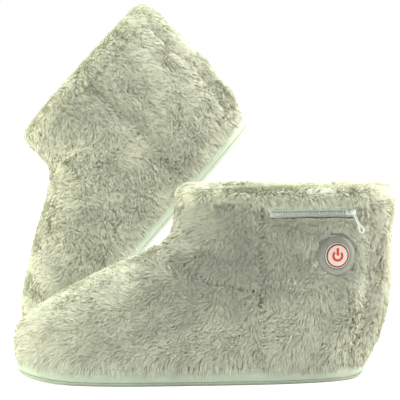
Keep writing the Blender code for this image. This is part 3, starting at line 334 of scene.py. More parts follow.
def woven_tape(name, colour, rib):
    """Woven polyester zip tape: fine ribs along it, with the thread's soft sheen."""
    made, tree, shader = start_material(name, Roughness=0.7, IOR=1.46, Sheen_Weight=0.25)
    place = add(tree, "ShaderNodeTexCoord").outputs["Object"]
    thread = add(tree, "ShaderNodeTexWave", bands_direction="Z", wave_type="BANDS",
                 values=(("Scale", 2 * math.pi / rib / 20), ("Distortion", 0.3)),
                 links=(("Vector", place),))
    mottle(tree, shader, thread.outputs["Fac"], 0.0, 0.6, 0.82, colour)
    bump(tree, shader, thread.outputs["Fac"], 0.12 * MM)
    return made


def lacquered_metal(name, colour):
    """Die-cast zinc under pale lacquer: smooth, with handling marks that dull its gloss."""
    made, tree, shader = start_material(name, Metallic=0.35, Coat_Weight=0.4,
                                        Coat_Roughness=0.2)
    marks = grain(tree, 1.8 * MM, 6.0)
    mottle(tree, shader, marks, 0.35, 0.65, 0.86, colour)
    rough = add(tree, "ShaderNodeMapRange", values=(("To Min", 0.28), ("To Max", 0.46)),
                links=(("Value", marks),))
    tree.links.new(rough.outputs["Result"], shader.inputs["Roughness"])
    bump(tree, shader, marks, 0.03 * MM)
    return made


def clouded_plastic(name, colour, roughness, coat):
    """Moulded ABS or polycarbonate: glossy, with a faint clouding from the moulding's flow."""
    made, tree, shader = start_material(name, Roughness=roughness, IOR=1.53, Coat_Weight=coat,
                                        Coat_Roughness=0.06)
    mottle(tree, shader, grain(tree, 7 * MM, 2.0), 0.3, 0.7, 0.9, colour)
    bump(tree, shader, grain(tree, 0.6 * MM, 2.0), 0.015 * MM)
    return made


def speckled(name, hex_colour, feature, roughness, depth, metallic=0.0):
    """A hidden piece's stuff, such as fibreboard, whose grain has a size and a depth in mm."""
    made, tree, shader = start_material(name, Roughness=roughness, Metallic=metallic)
    spots = grain(tree, feature * MM)
    mottle(tree, shader, spots, 0.35, 0.65, 0.8, linear(hex_colour))
    bump(tree, shader, spots, depth * MM)
    return made


def placed(name, data):
    """A new object in the scene."""
    made = bpy.data.objects.new(name, data)
    bpy.context.scene.collection.objects.link(made)
    return made


def mesh_of(bm, name):
    """A mesh from a bmesh, which is freed."""
    mesh = bpy.data.meshes.new(name)
    bm.to_mesh(mesh)
    bm.free()
    return mesh


def settle(bm, side, name):
    """Put a bmesh made in the left boot's frame where its side stands, as a mesh."""
    bm.transform(PLACES[side])
    if PLACES[side].determinant() < 0:
        bmesh.ops.reverse_faces(bm, faces=bm.faces)
    return mesh_of(bm, side + "_" + name)


def shown(mesh, body, material):
    """Show a mesh as a piece that rides on a body, with its finish."""
    made = placed(mesh.name, mesh)
    mesh.materials.append(material)
    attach(made, body)
    return made


def piece(name, side, bm, body, material, slot, sharp, *replaced):
    """A smooth piece from a bmesh in the left boot's frame, for one side."""
    mesh = settle(bm, side, name)
    mesh.shade_smooth()
    if sharp is not None:
        mesh.set_sharp_from_angle(angle=math.radians(sharp))
    made = shown(mesh, side + "_" + body, material)
    if replaced:
        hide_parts(*[side + "_" + node for node in replaced])
    return made


def cad_copy(node):
    """A left node's solid as a merged bmesh, with its flat pairs of triangles made quads."""
    bm = bmesh.new()
    bm.from_mesh(frame["nodes"]["left_" + node].data)
    bmesh.ops.remove_doubles(bm, verts=bm.verts, dist=0.01 * MM)
    bmesh.ops.join_triangles(bm, faces=bm.faces, angle_face_threshold=math.radians(25),
                             angle_shape_threshold=math.radians(60))
    return bm


def refined(node, levels, kind="CATMULL_CLARK", crease=None):
    """A left node's solid subdivided by the modifier, with its sharp edges creased."""
    bm = cad_copy(node)
    if crease is not None:
        layer = bm.edges.layers.float.new("crease_edge")
        for edge in bm.edges:
            if len(edge.link_faces) == 2 and edge.calc_face_angle(0) > math.radians(crease):
                edge[layer] = 1.0
    mesh = mesh_of(bm, "cage")
    cage = placed("cage", mesh)
    modifier = cage.modifiers.new("Subdivision", "SUBSURF")
    modifier.subdivision_type = kind
    modifier.levels = levels
    smooth = bpy.data.meshes.new_from_object(
        cage.evaluated_get(bpy.context.evaluated_depsgraph_get()))
    fine = bmesh.new()
    fine.from_mesh(smooth)
    bpy.data.objects.remove(cage)
    bpy.data.meshes.remove(mesh)
    bpy.data.meshes.remove(smooth)
    return fine


def share(values, start, span):
    """How far values have come from a start over a span, from 0 to 1."""
    return np.clip((values - start) / span, 0, 1)


def eased(value):
    """A smooth step, from 0 at 0 to 1 at 1."""
    value = min(max(value, 0), 1)
    return value * value * (3 - 2 * value)


def outward(point):
    """The direction from the boot's hollow out through a point of it."""
    in_foot = Vector((min(max(point.x, FOOT_FRONT_X), FOOT_BACK_X), 0, FOOT_AXIS_Z))
    in_shaft = Vector((SHAFT_MIDDLE.x, 0, point.z))
    rise = eased((point.z - 55 * MM) / (45 * MM))
    return (point - in_foot.lerp(in_shaft, rise)).normalized()


def inner_faces(bm):
    """The faces of the lining that look into the boot's hollow."""
    return [face for face in bm.faces if face.normal.z > 0.7
            or face.normal.dot(outward(face.calc_center_median())) < -0.2]


def outer_faces(bm):
    """The faces of a panel that look away from the lining, its turned edges among them."""
    lining = frame["nodes"]["left_foot_lining"].data
    tree = BVHTree.FromPolygons([vertex.co for vertex in lining.vertices],
                                [polygon.vertices[:] for polygon in lining.polygons])
    found = []
    for face in bm.faces:
        centre = face.calc_center_median()
        away = (centre - tree.find_nearest(centre)[0]).normalized()
        if face.normal.dot(away) > 0.02:
            found.append(face)
    return found


def surface_arrays(faces):
    """Corner places and corner normals of faces, split into triangles."""
    places, normals = [], []
    for face in faces:
        corners = [(vertex.co, vertex.normal) for vertex in face.verts]
        for number in range(1, len(corners) - 1):
            trio = (corners[0], corners[number], corners[number + 1])
            places.append([tuple(co) for co, _ in trio])
            normals.append([tuple(normal) for _, normal in trio])
    return np.array(places), np.array(normals)


def unit(vectors):
    return vectors / np.maximum(np.linalg.norm(vectors, axis=1, keepdims=True), 1e-9)


def swell(points, size, seed):
    """Smooth random values of about -1 to 1, whose swells have a real size."""
    draw = np.random.default_rng(seed)
    total = np.zeros(len(points))
    for _ in range(7):
        direction = draw.normal(size=3)
        direction *= 2 * math.pi * draw.uniform(0.6, 1.5) / size / np.linalg.norm(direction)
        total += np.sin(points @ direction + draw.uniform(0, 2 * math.pi))
    return total / math.sqrt(7) * 1.3


def scatter(faces, spacing, draw):
    """Random roots on faces, with the smooth normal at each."""
    corners, normals = surface_arrays(faces)
    areas = np.linalg.norm(np.cross(corners[:, 1] - corners[:, 0],
                                    corners[:, 2] - corners[:, 0]), axis=1) / 2
    count = int(areas.sum() / spacing ** 2)
    chosen = np.searchsorted(np.cumsum(areas) / areas.sum(), draw.random(count))
    chosen = np.minimum(chosen, len(areas) - 1)
    a, b = np.sqrt(draw.random(count)), draw.random(count)
    weights = np.stack((1 - a, a * (1 - b), a * b), axis=1)[:, :, None]
    return ((corners[chosen] * weights).sum(axis=1),
            unit((normals[chosen] * weights).sum(axis=1)))


def point_tree(points):
    """A tree that finds the nearest of some points."""
    tree = KDTree(len(points))
    for number, point in enumerate(points):
        tree.insert(point, number)
    tree.balance()
    return tree


def tufts(roots, part, draw):
    """The tuft that each root belongs to: the nearest of a part of the roots, chosen at random."""
    count = max(8, int(len(roots) * part))
    tree = point_tree(roots[draw.choice(len(roots), count, replace=False)])
    return np.array([tree.find(root)[1] for root in roots])


def strand_mesh(name, side, roots, middles, tips, half, tone, normals):
    """Tapered strands of two segments each, in one mesh with their map."""
    count = len(roots)
    points = np.stack((roots - half, roots + half, middles - half * 0.8, middles + half * 0.8,
                       tips), axis=1).reshape(-1, 3)
    turn = np.array(PLACES[side])
    points = points @ turn[:3, :3].T + turn[:3, 3]
    points[:, 2] = np.maximum(points[:, 2], FLOOR_CLEARANCE)
    order = np.array((0, 1, 3, 0, 3, 2, 2, 3, 4))
    if PLACES[side].determinant() < 0:
        order = order.reshape(3, 3)[:, ::-1].ravel()
    corners = (np.arange(count)[:, None] * 5 + order).ravel()
    mesh = bpy.data.meshes.new(side + "_" + name)
    mesh.vertices.add(count * 5)
    mesh.vertices.foreach_set("co", points.astype(np.float32).ravel())
    mesh.loops.add(len(corners))
    mesh.loops.foreach_set("vertex_index", corners.astype(np.int32))
    mesh.polygons.add(len(corners) // 3)
    mesh.polygons.foreach_set("loop_start", np.arange(0, len(corners), 3, dtype=np.int32))
    mesh.update(calc_edges=True)
    across_map = np.clip(tone, 0.02, 0.98)[:, None] + STRAND_EDGE
    rise_map = np.broadcast_to(STRAND_RISE, across_map.shape)
    spots = np.stack((across_map, rise_map), axis=2).reshape(-1, 2)[corners]
    mesh.uv_layers.new(name=PILE_MAP)
    mesh.uv_layers[PILE_MAP].uv.foreach_set("vector", spots.astype(np.float32).ravel())
    leaning = unit(np.repeat(normals, 5, axis=0) @ turn[:3, :3].T)
    mesh.shade_smooth()
    mesh.normals_split_custom_set_from_vertices(leaning.astype(np.float32))
    return mesh


class Lay:
    """How a piece's pile lies: its comb, length, lean in degrees, spacing and roots' depth.

    A bare function trims it, a lift function paints shade or highlight on its tone, and upward turns its shading
    up.
    """

    def __init__(self, comb, length, lean, spacing, sink, bare=None, lift=None, upward=0):
        self.comb, self.length, self.lean = comb, length, math.radians(lean)
        self.spacing, self.sink = spacing, sink
        self.bare, self.lift, self.upward = bare, lift, upward


def boot_comb(points):
    """The way the outer pile is brushed: down the shaft, and towards the toe on the foot."""
    shaft = share(points[:, 0], INSTEP_X, 40 * MM) * share(points[:, 2], 30 * MM, 50 * MM)
    return np.stack((-0.9 + 0.75 * shaft, np.zeros(len(points)), -0.45 - 0.45 * shaft), axis=1)


def collar_comb(points):
    """Over the collar's rim, away from its middle and down."""
    away = points - np.array((SHAFT_MIDDLE.x, 0, 0))
    away[:, 2] = 0
    return unit(away) * 0.6 + np.array((0, 0, -0.8))


def lining_comb(points):
    """Up towards the mouth in the shaft, towards the toe in the foot."""
    rise = share(points[:, 2], 60 * MM, 60 * MM)
    return np.stack((rise - 1, np.zeros(len(points)), rise * 0.9), axis=1)


def toe_comb(points):
    """Towards the toe."""
    return np.tile((-1.0, 0.0, 0.0), (len(points), 1))


def collar_painted_highlight(points):
    """Painted highlight: the collar's pile is painted lighter, more so towards its rim."""
    return 0.4 + 0.4 * share(points[:, 2], HEM_Z, RIM_Z - HEM_Z)


def painted_side_shade(points):
    """Painted shade: the outer side of the instep and shaft is painted a little darker."""
    rise = share(points[:, 2], 45 * MM, 35 * MM)
    fore = np.maximum(share(points[:, 0], INSTEP_X + 75 * MM, -25 * MM), 0.7)
    fore = fore * share(points[:, 0], INSTEP_X + 150 * MM, -25 * MM)
    fore = fore * share(points[:, 0], INSTEP_X - 45 * MM, 40 * MM)
    return -0.42 * rise * fore * share(points[:, 1], 12 * MM, -30 * MM)


def hem_trim(roots, length, way):
    """The collar's lowest strands are uneven, so its hem has no hard edge."""
    uneven = np.maximum(1.15 + 0.35 * swell(roots, 5 * MM, 11), 0.6)
    return length * np.where(roots[:, 2] - HEM_Z < 5 * MM, uneven, 1), way


def swept_pile(name, faces, lay):
    """Every strand of a piece: root, middle, tip, half its width, its tone and its normal."""
    seed = sum(ord(letter) * place for place, letter in enumerate(name, 1))
    draw = np.random.default_rng(seed)
    roots, normals = scatter(faces, lay.spacing, draw)
    count = len(roots)
    combed = lay.comb(roots)
    combed = unit(combed - normals * (combed * normals).sum(axis=1, keepdims=True))
    beside = np.cross(normals, combed)
    tuft = tufts(roots, (lay.spacing / sizes().tuft_spacing) ** 2, draw)
    groups = tuft.max() + 1

    def spread(by_tuft, by_strand):
        return draw.normal(0, by_tuft, groups)[tuft] + draw.normal(0, by_strand, count)

    swirl = sum(turns * swell(roots, size, seed + number)
                for number, (turns, size) in zip((0, 3), SWIRLS))
    turn = (swirl + spread(*TURN_SPREAD))[:, None]
    way = combed * np.cos(turn) + beside * np.sin(turn)
    lean = lay.lean + 0.07 * swell(roots, 22 * MM, seed + 1) + spread(*LEAN_SPREAD)
    lean = np.clip(lean, *LEAN_RANGE)[:, None]
    length = lay.length * draw.uniform(*LENGTH_RANGE, count)
    length *= draw.uniform(*TUFT_LENGTH_RANGE, groups)[tuft]
    if lay.bare is not None:
        length, way = lay.bare(roots, length, way)
    half = length[:, None] / 2
    low, high = np.maximum(lean + ROOT_BEND, 0.05), np.minimum(lean + TIP_BEND, 1.5)
    roots = roots - normals * lay.sink
    middles = roots + half * (normals * np.cos(low) + way * np.sin(low))
    tips = middles + half * (normals * np.cos(high) + way * np.sin(high))
    sums = np.maximum(np.bincount(tuft, minlength=groups), 1)[:, None]
    for ends, pull in ((middles, MIDDLE_GATHER), (tips, TIP_GATHER)):
        centres = np.stack([np.bincount(tuft, ends[:, axis], groups) for axis in range(3)], axis=1)
        ends += (centres / sums)[tuft] * pull - ends * pull
    strand = unit(tips - roots)
    across = unit(np.cross(strand, normals) + normals * draw.normal(0, TWIST, count)[:, None])
    tone = 0.4 + 0.08 * swell(roots, 36 * MM, seed + 2) + spread(*TONE_SPREAD)
    # The lift adds painted shade or painted highlight to the tone.
    if lay.lift is not None:
        tone = tone + lay.lift(roots)
    flat = unit(np.cross(across, strand))
    flat *= np.sign((flat * normals).sum(axis=1, keepdims=True))
    soft = unit(normals * 0.85 + flat * 0.25 + np.array((0, 0, lay.upward)))
    half_width = across * sizes().pile_width * np.clip(length / lay.length, 0.4, 1.1)[:, None] / 2
    keep = length > SHORTEST_STRAND
    return [array[keep] for array in (roots, middles, tips, half_width, tone, soft)]


def rim_tree(faces):
    """A tree of the places along a patch's seams, less a panel's at the sole and the collar."""
    inside = set(faces)
    middles = [(edge.verts[0].co + edge.verts[1].co) / 2 for face in faces
               for edge in face.edges if sum(other in inside for other in edge.link_faces) == 1]
    hem = HEM_Z - 3 * MM
    if min(face.calc_center_median().z for face in faces) < hem:
        middles = [middle for middle in middles if SEAM_FLOOR_Z < middle.z < hem]
    return point_tree(middles)


def puff(bm, faces, centre, edge, reach):
    """Quilt a patch: its middle stands out of the solid's skin and its seams lie deeper.

    By the sole it lies in, and by the button it makes room, more so at the heel's side.
    """
    tree = rim_tree(faces)
    place = BUTTON.inverted()
    moved = {}
    for vertex in {vertex for face in faces for vertex in face.verts}:
        rise = edge + (centre - edge) * eased(tree.find(vertex.co)[2] / reach)
        low = eased((vertex.co.z - 12 * MM) / (22 * MM))
        rise = rise * low - SOLE_SINK * (1 - low)
        spot = place @ vertex.co
        if abs(spot.z) < 30 * MM:
            clear = eased((spot.xy.length - BUTTON_RADIUS) / (14 * MM))
            toe_side = min(max(0.35 - spot.x / BUTTON_RADIUS, 0), 1)
            rise = rise * clear + (1.9 * toe_side - 1.5) * MM * (1 - clear)
        moved[vertex] = vertex.co + vertex.normal * rise
    for vertex, co in moved.items():
        vertex.co = co
    bm.normal_update()


def backing_bmesh(faces, sink):
    """The cloth under the pile: a piece's outer faces moved in, given a thickness."""
    bm = bmesh.new()
    inside = set(faces)
    outer, inner = {}, {}
    for face in faces:
        for vertex in face.verts:
            if vertex not in outer:
                outer[vertex] = bm.verts.new(vertex.co - vertex.normal * sink)
                inner[vertex] = bm.verts.new(vertex.co - vertex.normal * (sink + CLOTH_THICKNESS))
    for face in faces:
        bm.faces.new([outer[vertex] for vertex in face.verts])
        bm.faces.new([inner[vertex] for vertex in reversed(face.verts)])
        for loop in face.loops:
            if sum(other in inside for other in loop.edge.link_faces) == 1:
                a, b = loop.vert, loop.link_loop_next.vert
                bm.faces.new((outer[b], outer[a], inner[a], inner[b]))
    return bm


def make_pile(node, faces, lay, pile_material, cloth_material, slot):
    """Both boots' cloth and strands for one piece of plush."""
    strands = swept_pile(node, faces, lay)
    cloths = []
    for side in SIDES:
        cloths.append(piece(node + "_cloth", side, backing_bmesh(faces, lay.sink), "boot",
                            cloth_material, slot, None, node))
        shown(strand_mesh(node + "_pile", side, *strands), side + "_boot", pile_material)
    return cloths


def pocket_range(node):
    """Lowest and highest measures of a left node along, out from and up the pocket."""
    measures = left_places(node) @ np.array(pocket_axes("left"))
    return Vector(measures.min(axis=0)), Vector(measures.max(axis=0))


def on_pocket(bm):
    """Turn a bmesh made along, out from and up the pocket to the left boot's frame."""
    bm.transform(pocket_axes("left").to_4x4())
    return bm


def on_button(bm):
    """Turn a closed bmesh made on the button's axis to the left boot's frame."""
    bmesh.ops.recalc_face_normals(bm, faces=bm.faces)
    bm.transform(BUTTON)
    return bm


def spun(profile):
    """A solid of revolution on the button's axis, from radii and heights in mm."""
    bm = bmesh.new()
    corners = [bm.verts.new((radius * MM, 0, height * MM)) for radius, height in profile]
    edges = [bm.edges.new(pair) for pair in zip(corners, corners[1:])]
    bmesh.ops.spin(bm, geom=corners + edges, axis=(0, 0, 1), cent=(0, 0, 0),
                   angle=2 * math.pi, steps=96, use_merge=True)
    bmesh.ops.remove_doubles(bm, verts=bm.verts, dist=0.002 * MM)
    return on_button(bm)


def bevelled(node, width):
    """A left node's solid with its sharp edges rounded."""
    bm = cad_copy(node)
    bmesh.ops.dissolve_limit(bm, angle_limit=math.radians(1), verts=bm.verts, edges=bm.edges)
    sharp = [edge for edge in bm.edges
             if len(edge.link_faces) == 2 and edge.calc_face_angle(0) > math.radians(35)]
    bmesh.ops.bevel(bm, geom=sharp, offset=width, segments=2, profile=0.5,
                    affect="EDGES", clamp_overlap=True, material=-1)
    return bm


def seam_trim(faces):
    """A trim that leans the strands beside a piece's seams across them, and hangs the lowest."""
    tree = rim_tree(faces)

    def trim(roots, length, way):
        nearest = [tree.find(root) for root in roots]
        reach = np.array([found[2] for found in nearest])
        towards = unit(np.array([tuple(found[0]) for found in nearest]) - roots)
        pull = SEAM_PULL * np.sqrt(share(reach, SEAM_REACH, -SEAM_REACH))[:, None]
        high = (roots[:, 2] > SOLE_LIP_Z)[:, None]
        way = np.where(high, unit(way + towards * pull), way)
        low = share(roots[:, 2], SOLE_LIP_Z, -SOLE_LIP_FALL)
        down = np.array((0, 0, -0.9)) * low[:, None]
        return length * (1 + 0.22 * low), unit(way * (1 - 0.75 * low[:, None]) + down)

    return trim


def zip_trim(roots, length, way):
    """Keep the zip clear, with the pile around it lying over its edges."""
    turn = np.array(pocket_axes("left"))
    along, out, up = (roots @ turn).T
    low, high = pocket_range("zip_tape_lower")[0], pocket_range("zip_tape_upper")[1]
    outer = out > low.y - 14 * MM
    beside = outer & (along > low.x + MM) & (along < high.x + 2 * MM)
    over = up - high.z
    length = np.where(beside & (over > -MM),
                      np.minimum(length, np.maximum(over, 0) + OVER_ZIP), length)
    length = np.where(beside & (over <= -MM) & (up > low.z), 0, length)
    under = beside & (up <= low.z) & (up > low.z - 3 * MM)
    before = (outer & (along <= low.x + MM) & (along > low.x - 5 * MM) & (over < 0)
              & (up > low.z - 2 * MM))
    length = np.where(under, UNDER_ZIP, np.where(before, BEFORE_ZIP, length))
    return length, np.where(under[:, None], turn[:, 2],
                            np.where(before[:, None], turn[:, 0], way))


def button_trim(roots, length, way):
    """Keep the button clear, with the pile at its toe side lying over the bezel's edge."""
    place = np.array(BUTTON)
    local = (roots - place[:3, 3]) @ place[:3, :3]
    reach = np.hypot(local[:, 0], local[:, 1])
    near = np.abs(local[:, 2]) < 25 * MM
    inward = unit(-local * (1, 1, 0)) @ place[:3, :3].T
    hug = (near * share(reach, BUTTON_RADIUS + BEZEL_HUG, -BEZEL_HUG)
           * share(local[:, 0], 0.4 * BUTTON_RADIUS, -BUTTON_RADIUS))
    way = unit(way + inward * 2.2 * hug[:, None])
    heading = (way @ place[:3, :3])[:, :2]
    closing = -(heading * local[:, :2]).sum(axis=1) / np.maximum(reach, MM)
    overlap = OVER_BEZEL * np.clip(0.35 - local[:, 0] / BUTTON_RADIUS, 0.35, 1)
    limit = np.maximum((reach - BUTTON_RADIUS) / np.maximum(closing, 0.3) + overlap, 0)
    return np.where(near & (closing > 0), np.minimum(length, limit), length), way


def in_turn(*trims):
    """One trim that applies several, one after another."""
    def trim(roots, length, way):
        for one in trims:
            length, way = one(roots, length, way)
        return length, way

    return trim


class BOOTS_OT_soles(bpy.types.Operator):
    """Build the treaded outsoles and the soft midsoles"""

    bl_idname = "boots.soles"
    bl_label = "Soles"

    def execute(self, context):
        foam = moulded_foam("sole_foam", colours().sole)
        rubber = moulded_foam("sole_rubber", shaded(colours().sole, 0.92))
        for side in SIDES:
            piece("midsole_foam", side, refined("midsole", 2, crease=28), "boot",
                  foam, "midsole", 40, "midsole")
            piece("outsole_rubber", side, refined("outsole", 1, "SIMPLE"), "boot",
                  rubber, "outsole", 30, "outsole")
        return {"FINISHED"}


class BOOTS_OT_panels(bpy.types.Operator):
    """Build the five plush panels of each upper, their cloth and their pile"""

    bl_idname = "boots.panels"
    bl_label = "Plush Panels"

    def execute(self, context):
        fur = faux_fur("plush_pile")
        # The cloth takes the roots' colour, with its painted shade.
        cloth = knitted_backing("plush_cloth", colours().pile_root_shade)
        for node in PUFFS:
            shell = refined(node, 2, crease=50)
            faces = outer_faces(shell)
            puff(shell, faces, PUFFS[node] * MM, PANEL_SEAM, PANEL_REACH)
            spacing = sizes().pile_spacing * (1.04 if node == "vamp" else 1)
            # The lift paints shade on the outer side of the instep and shaft.
            lay = Lay(boot_comb, sizes().pile_length, 50, spacing, 0.4 * MM, lift=painted_side_shade,
                      bare=in_turn(seam_trim(faces), zip_trim, button_trim))
            make_pile(node, faces, lay, fur, cloth, "pile")
            shell.free()
        return {"FINISHED"}


class BOOTS_OT_linings(bpy.types.Operator):
    """Build the collar bands, the linings and the insole covers with their pile"""

    bl_idname = "boots.linings"
    bl_label = "Collars and Linings"

    def execute(self, context):
        fur = faux_fur("lining_pile")
        # The cloth takes the roots' colour, with its painted shade.
        cloth = knitted_backing("lining_cloth", colours().pile_root_shade)
        size = sizes()
        collar = refined("collar_band", 2, crease=50)
        faces = [face for face in collar.faces if face.normal.z > -0.5]
        puff(collar, faces, COLLAR_PUFF, COLLAR_SEAM, COLLAR_REACH)
        # The lift paints a highlight on the collar's pile, lightest at its rim.
        lay = Lay(collar_comb, 0.9 * size.pile_length, 46, 0.85 * size.pile_spacing, 0.2 * MM,
                  lift=collar_painted_highlight, bare=in_turn(hem_trim, zip_trim, button_trim), upward=0.7)
        make_pile("collar_band", faces, lay, fur, cloth, "collar_pile")
        collar.free()
        lining = refined("foot_lining", 2)
        make_pile("foot_lining", inner_faces(lining),
                  Lay(lining_comb, size.lining_length, 48, size.lining_spacing, 0),
                  fur, cloth, "lining_pile")
        lining.free()
        cover = refined("insole_cover", 2)
        tops = [face for face in cover.faces if face.normal.z > 0.5]
        for pad in make_pile("insole_cover", tops,
                             Lay(toe_comb, size.lining_length, 58, size.lining_spacing, 0),
                             fur, cloth, "lining_pile"):
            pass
        cover.free()
        return {"FINISHED"}


def ribbed_tape(low, high, rib):
    """A woven tape along the pocket, with ribs of a real pitch on its outer face."""
    bm = bmesh.new()
    steps = max(8, int((high.z - low.z) / rib * 8))
    profile = [(low.y, low.z), (low.y, high.z)]
    for step in range(steps + 1):
        up = high.z - (high.z - low.z) * step / steps
        profile.append((high.y - RIB_DEPTH * (1 + math.cos(2 * math.pi * up / rib)) / 2, up))
    ends = [[bm.verts.new((along, out, up)) for out, up in profile]
            for along in (low.x, high.x)]
    bm.faces.new(ends[0])
    bm.faces.new(ends[1])
    for number in range(len(profile)):
        after = (number + 1) % len(profile)
        bm.faces.new((ends[0][number], ends[0][after], ends[1][after], ends[1][number]))
    bmesh.ops.recalc_face_normals(bm, faces=bm.faces)
    return on_pocket(bm)


def coil_teeth(low, high, edge, side, pitch):
    """A row of coil turns along a tape's edge, each a rounded loop sewn to the tape."""
    bm = bmesh.new()
    along = low.x + pitch
    while along < high.x - pitch / 2:
        made = bmesh.ops.create_cube(bm, size=1.0)["verts"]
        bmesh.ops.scale(bm, vec=(TOOTH_FILL * pitch, TOOTH_DEPTH, TOOTH_HEIGHT), verts=made)
        bmesh.ops.translate(bm, vec=(along, high.y + 0.1 * MM, edge + side * 0.35 * MM),
                            verts=made)
        edges = list({one for vertex in made for one in vertex.link_edges})
        bmesh.ops.bevel(bm, geom=edges, offset=TOOTH_ROUNDING, segments=2, profile=0.5,
                        affect="EDGES", clamp_overlap=True, material=-1)
        along += pitch
    return on_pocket(bm)


class BOOTS_OT_zip(bpy.types.Operator):
    """Build the pocket's zip: tapes, teeth, end stop, slider and pull"""

    bl_idname = "boots.zip"
    bl_label = "Zip"

    def execute(self, context):
        tape = woven_tape("zip_tape_cloth", colours().zip_tape, 0.5 * MM)
        coil = clouded_plastic("zip_coil", shaded(colours().zip_tape, 0.95), 0.4, 0.1)
        metal = lacquered_metal("zip_lacquer", shaded(colours().zip_tape, 0.95))
        lower, upper = pocket_range("zip_tape_lower"), pocket_range("zip_tape_upper")
        for side in SIDES:
            for name, span, edge, away in (("lower", lower, lower[1].z, -1),
                                           ("upper", upper, upper[0].z, 1)):
                face = span[1].copy()
                face.y = span[0].y + TAPE_THICKNESS
                piece("zip_tape_" + name + "_cloth", side,
                      ribbed_tape(span[0], face, sizes().tape_rib), "boot", tape, "zip_tape",
                      50, "zip_tape_" + name)
                piece("zip_teeth_" + name, side,
                      coil_teeth(span[0], face, edge, away, sizes().tooth_pitch), "boot", coil,
                      "zip_tape", 40)
            for name, node, width, body in (
                    ("zip_stop", "zip_end_stop", 0.4, "boot"),
                    ("zip_slider_body", "zip_slider", 0.45, "zip_slider"),
                    ("zip_pull_tab", "zip_pull", 0.25, "zip_pull")):
                piece(name, side, bevelled(node, width * MM), body, metal, "zip_metal", 40, node)
        return {"FINISHED"}


def crown(across, up):
    """Height of the cap's crown at a place on it, in mm."""
    return CROWN_HEIGHT - CROWN_CURVE * (across * across + up * up)


def raised_strokes(*strokes):
    """Printed strokes a little proud of the cap, each from pairs of edge points in mm."""
    bm = bmesh.new()
    for pairs, closed in strokes:
        rows = []
        for left, right in pairs:
            corners = ((left, PRINT_TOP), (right, PRINT_TOP), (right, PRINT_ROOT),
                       (left, PRINT_ROOT))
            rows.append([bm.verts.new((x * MM, y * MM, (crown(x, y) + rise) * MM))
                         for (x, y), rise in corners])
        for row, after in zip(rows, rows[1:] + rows[:1] if closed else rows[1:]):
            for number in range(4):
                then = (number + 1) % 4
                bm.faces.new((row[number], row[then], after[then], after[number]))
        if not closed:
            bm.faces.new(rows[0])
            bm.faces.new(rows[-1])
    return on_button(bm)


def ring_pairs(low, high, start, end, steps):
    """Pairs of points in mm on two circles, from one angle in degrees towards another."""
    angles = [math.radians(start + (end - start) * step / steps) for step in range(steps)]
    return [[(radius * math.cos(angle), radius * math.sin(angle)) for radius in (low, high)]
            for angle in angles]


class BOOTS_OT_button(bpy.types.Operator):
    """Build the heating button: bezel, pressing cap, its ring and its power symbol"""

    bl_idname = "boots.button"
    bl_label = "Heating Button"

    def execute(self, context):
        ring = clouded_plastic("bezel_plastic", colours().bezel, 0.16, 0.6)
        cap = clouded_plastic("cap_plastic", linear("#E4D6CE"), 0.3, 0.3)
        print_red = clouded_plastic("symbol_print", colours().symbol, 0.42, 0.1)
        ring_red = clouded_plastic("ring_print", shaded(colours().symbol, 0.3), 0.42, 0.1)
        half = sizes().symbol_width / 2 / MM
        ring_print = ring_pairs(*PRINT_RING, 0, 360, 96)
        arc = ring_pairs(half - PRINT_STROKE, half, 132, 408, 40)
        bar = [((-1.05, up), (1.05, up)) for up in (0.2, 2.6, half + 1.4)]
        for side in SIDES:
            piece("bezel", side, spun(BEZEL_PROFILE), "boot", ring, "bezel", 50,
                  "button_housing")
            piece("cap", side, spun(CAP_PROFILE), "heating_button", cap, "cap", 50,
                  "button_cap")
            piece("cap_ring", side, raised_strokes((ring_print, True)), "heating_button",
                  ring_red, "cap", 40)
            piece("power_symbol", side, raised_strokes((arc, False), (bar, False)),
                  "heating_button", print_red, "cap", 40)
        return {"FINISHED"}


class BOOTS_OT_insides(bpy.types.Operator):
    """Finish the pieces inside each boot: footbed, heating pad, battery pack and leads"""

    bl_idname = "boots.insides"
    bl_label = "Insides"

    def execute(self, context):
        stuffs = {
            "insole_board": speckled("fibreboard", "#B89A72", 1.2, 0.85, 0.08),
            "heel_counter": speckled("counter_board", "#A98E68", 1.5, 0.8, 0.08),
            "battery_cell": speckled("cell_foil", "#B9BCC2", 3, 0.35, 0.05, 1.0),
            "battery_board": speckled("charge_board", "#1F5A33", 2, 0.45, 0.05),
            "switch_board": speckled("switch_board", "#235E37", 2, 0.45, 0.05),
        }
        for node, name, colour, roughness in (
                ("heating_wire", "wire_insulation", "#C0402E", 0.5),
                ("battery_case", "pack_shell", "#2B2C2F", 0.5),
                ("battery_cover", "pack_cover", "#303136", 0.5),
                ("battery_lead", "battery_lead_rubber", "#1E1E20", 0.6),
                ("heater_lead", "heater_lead_rubber", "#232325", 0.6)):
            stuffs[node] = clouded_plastic(name, linear(colour), roughness, 0.0)
        soft = {
            "footbed_foam": ("foam", speckled("open_foam", "#DCD9CC", 0.9, 0.95, 0.2)),
            "heating_pad": ("carbon_cloth", speckled("carbon_cloth", "#3A3A3D", 0.8, 0.7, 0.1)),
            "pocket_bag": ("pocket_cloth", knitted_backing("pocket_cloth", linear("#9FA39A"))),
        }
        for side in SIDES:
            for node, stuff in stuffs.items():
                mesh = frame["nodes"][side + "_" + node].data
                mesh.materials.clear()
                mesh.materials.append(stuff)
            for node, (slot, stuff) in soft.items():
                made = piece(node + "_soft", side, bevelled(node, 0.25 * MM), "boot", stuff,
                             slot, 40, node)
        return {"FINISHED"}


def softbox(name, place, power, colour):
    """A soft studio light of a real size, turned to the boots."""
    light = bpy.data.lights.new(name, "AREA")
    light.shape = "RECTANGLE"
    light.size = light.size_y = LIGHT_SIZE
    light.energy = power
    light.color = linear(colour)[:3]
    made = placed(name, light)
    made.location = place
    made.rotation_euler = (LIGHT_AIM - Vector(place)).to_track_quat("-Z", "Y").to_euler()
    made.visible_camera = False


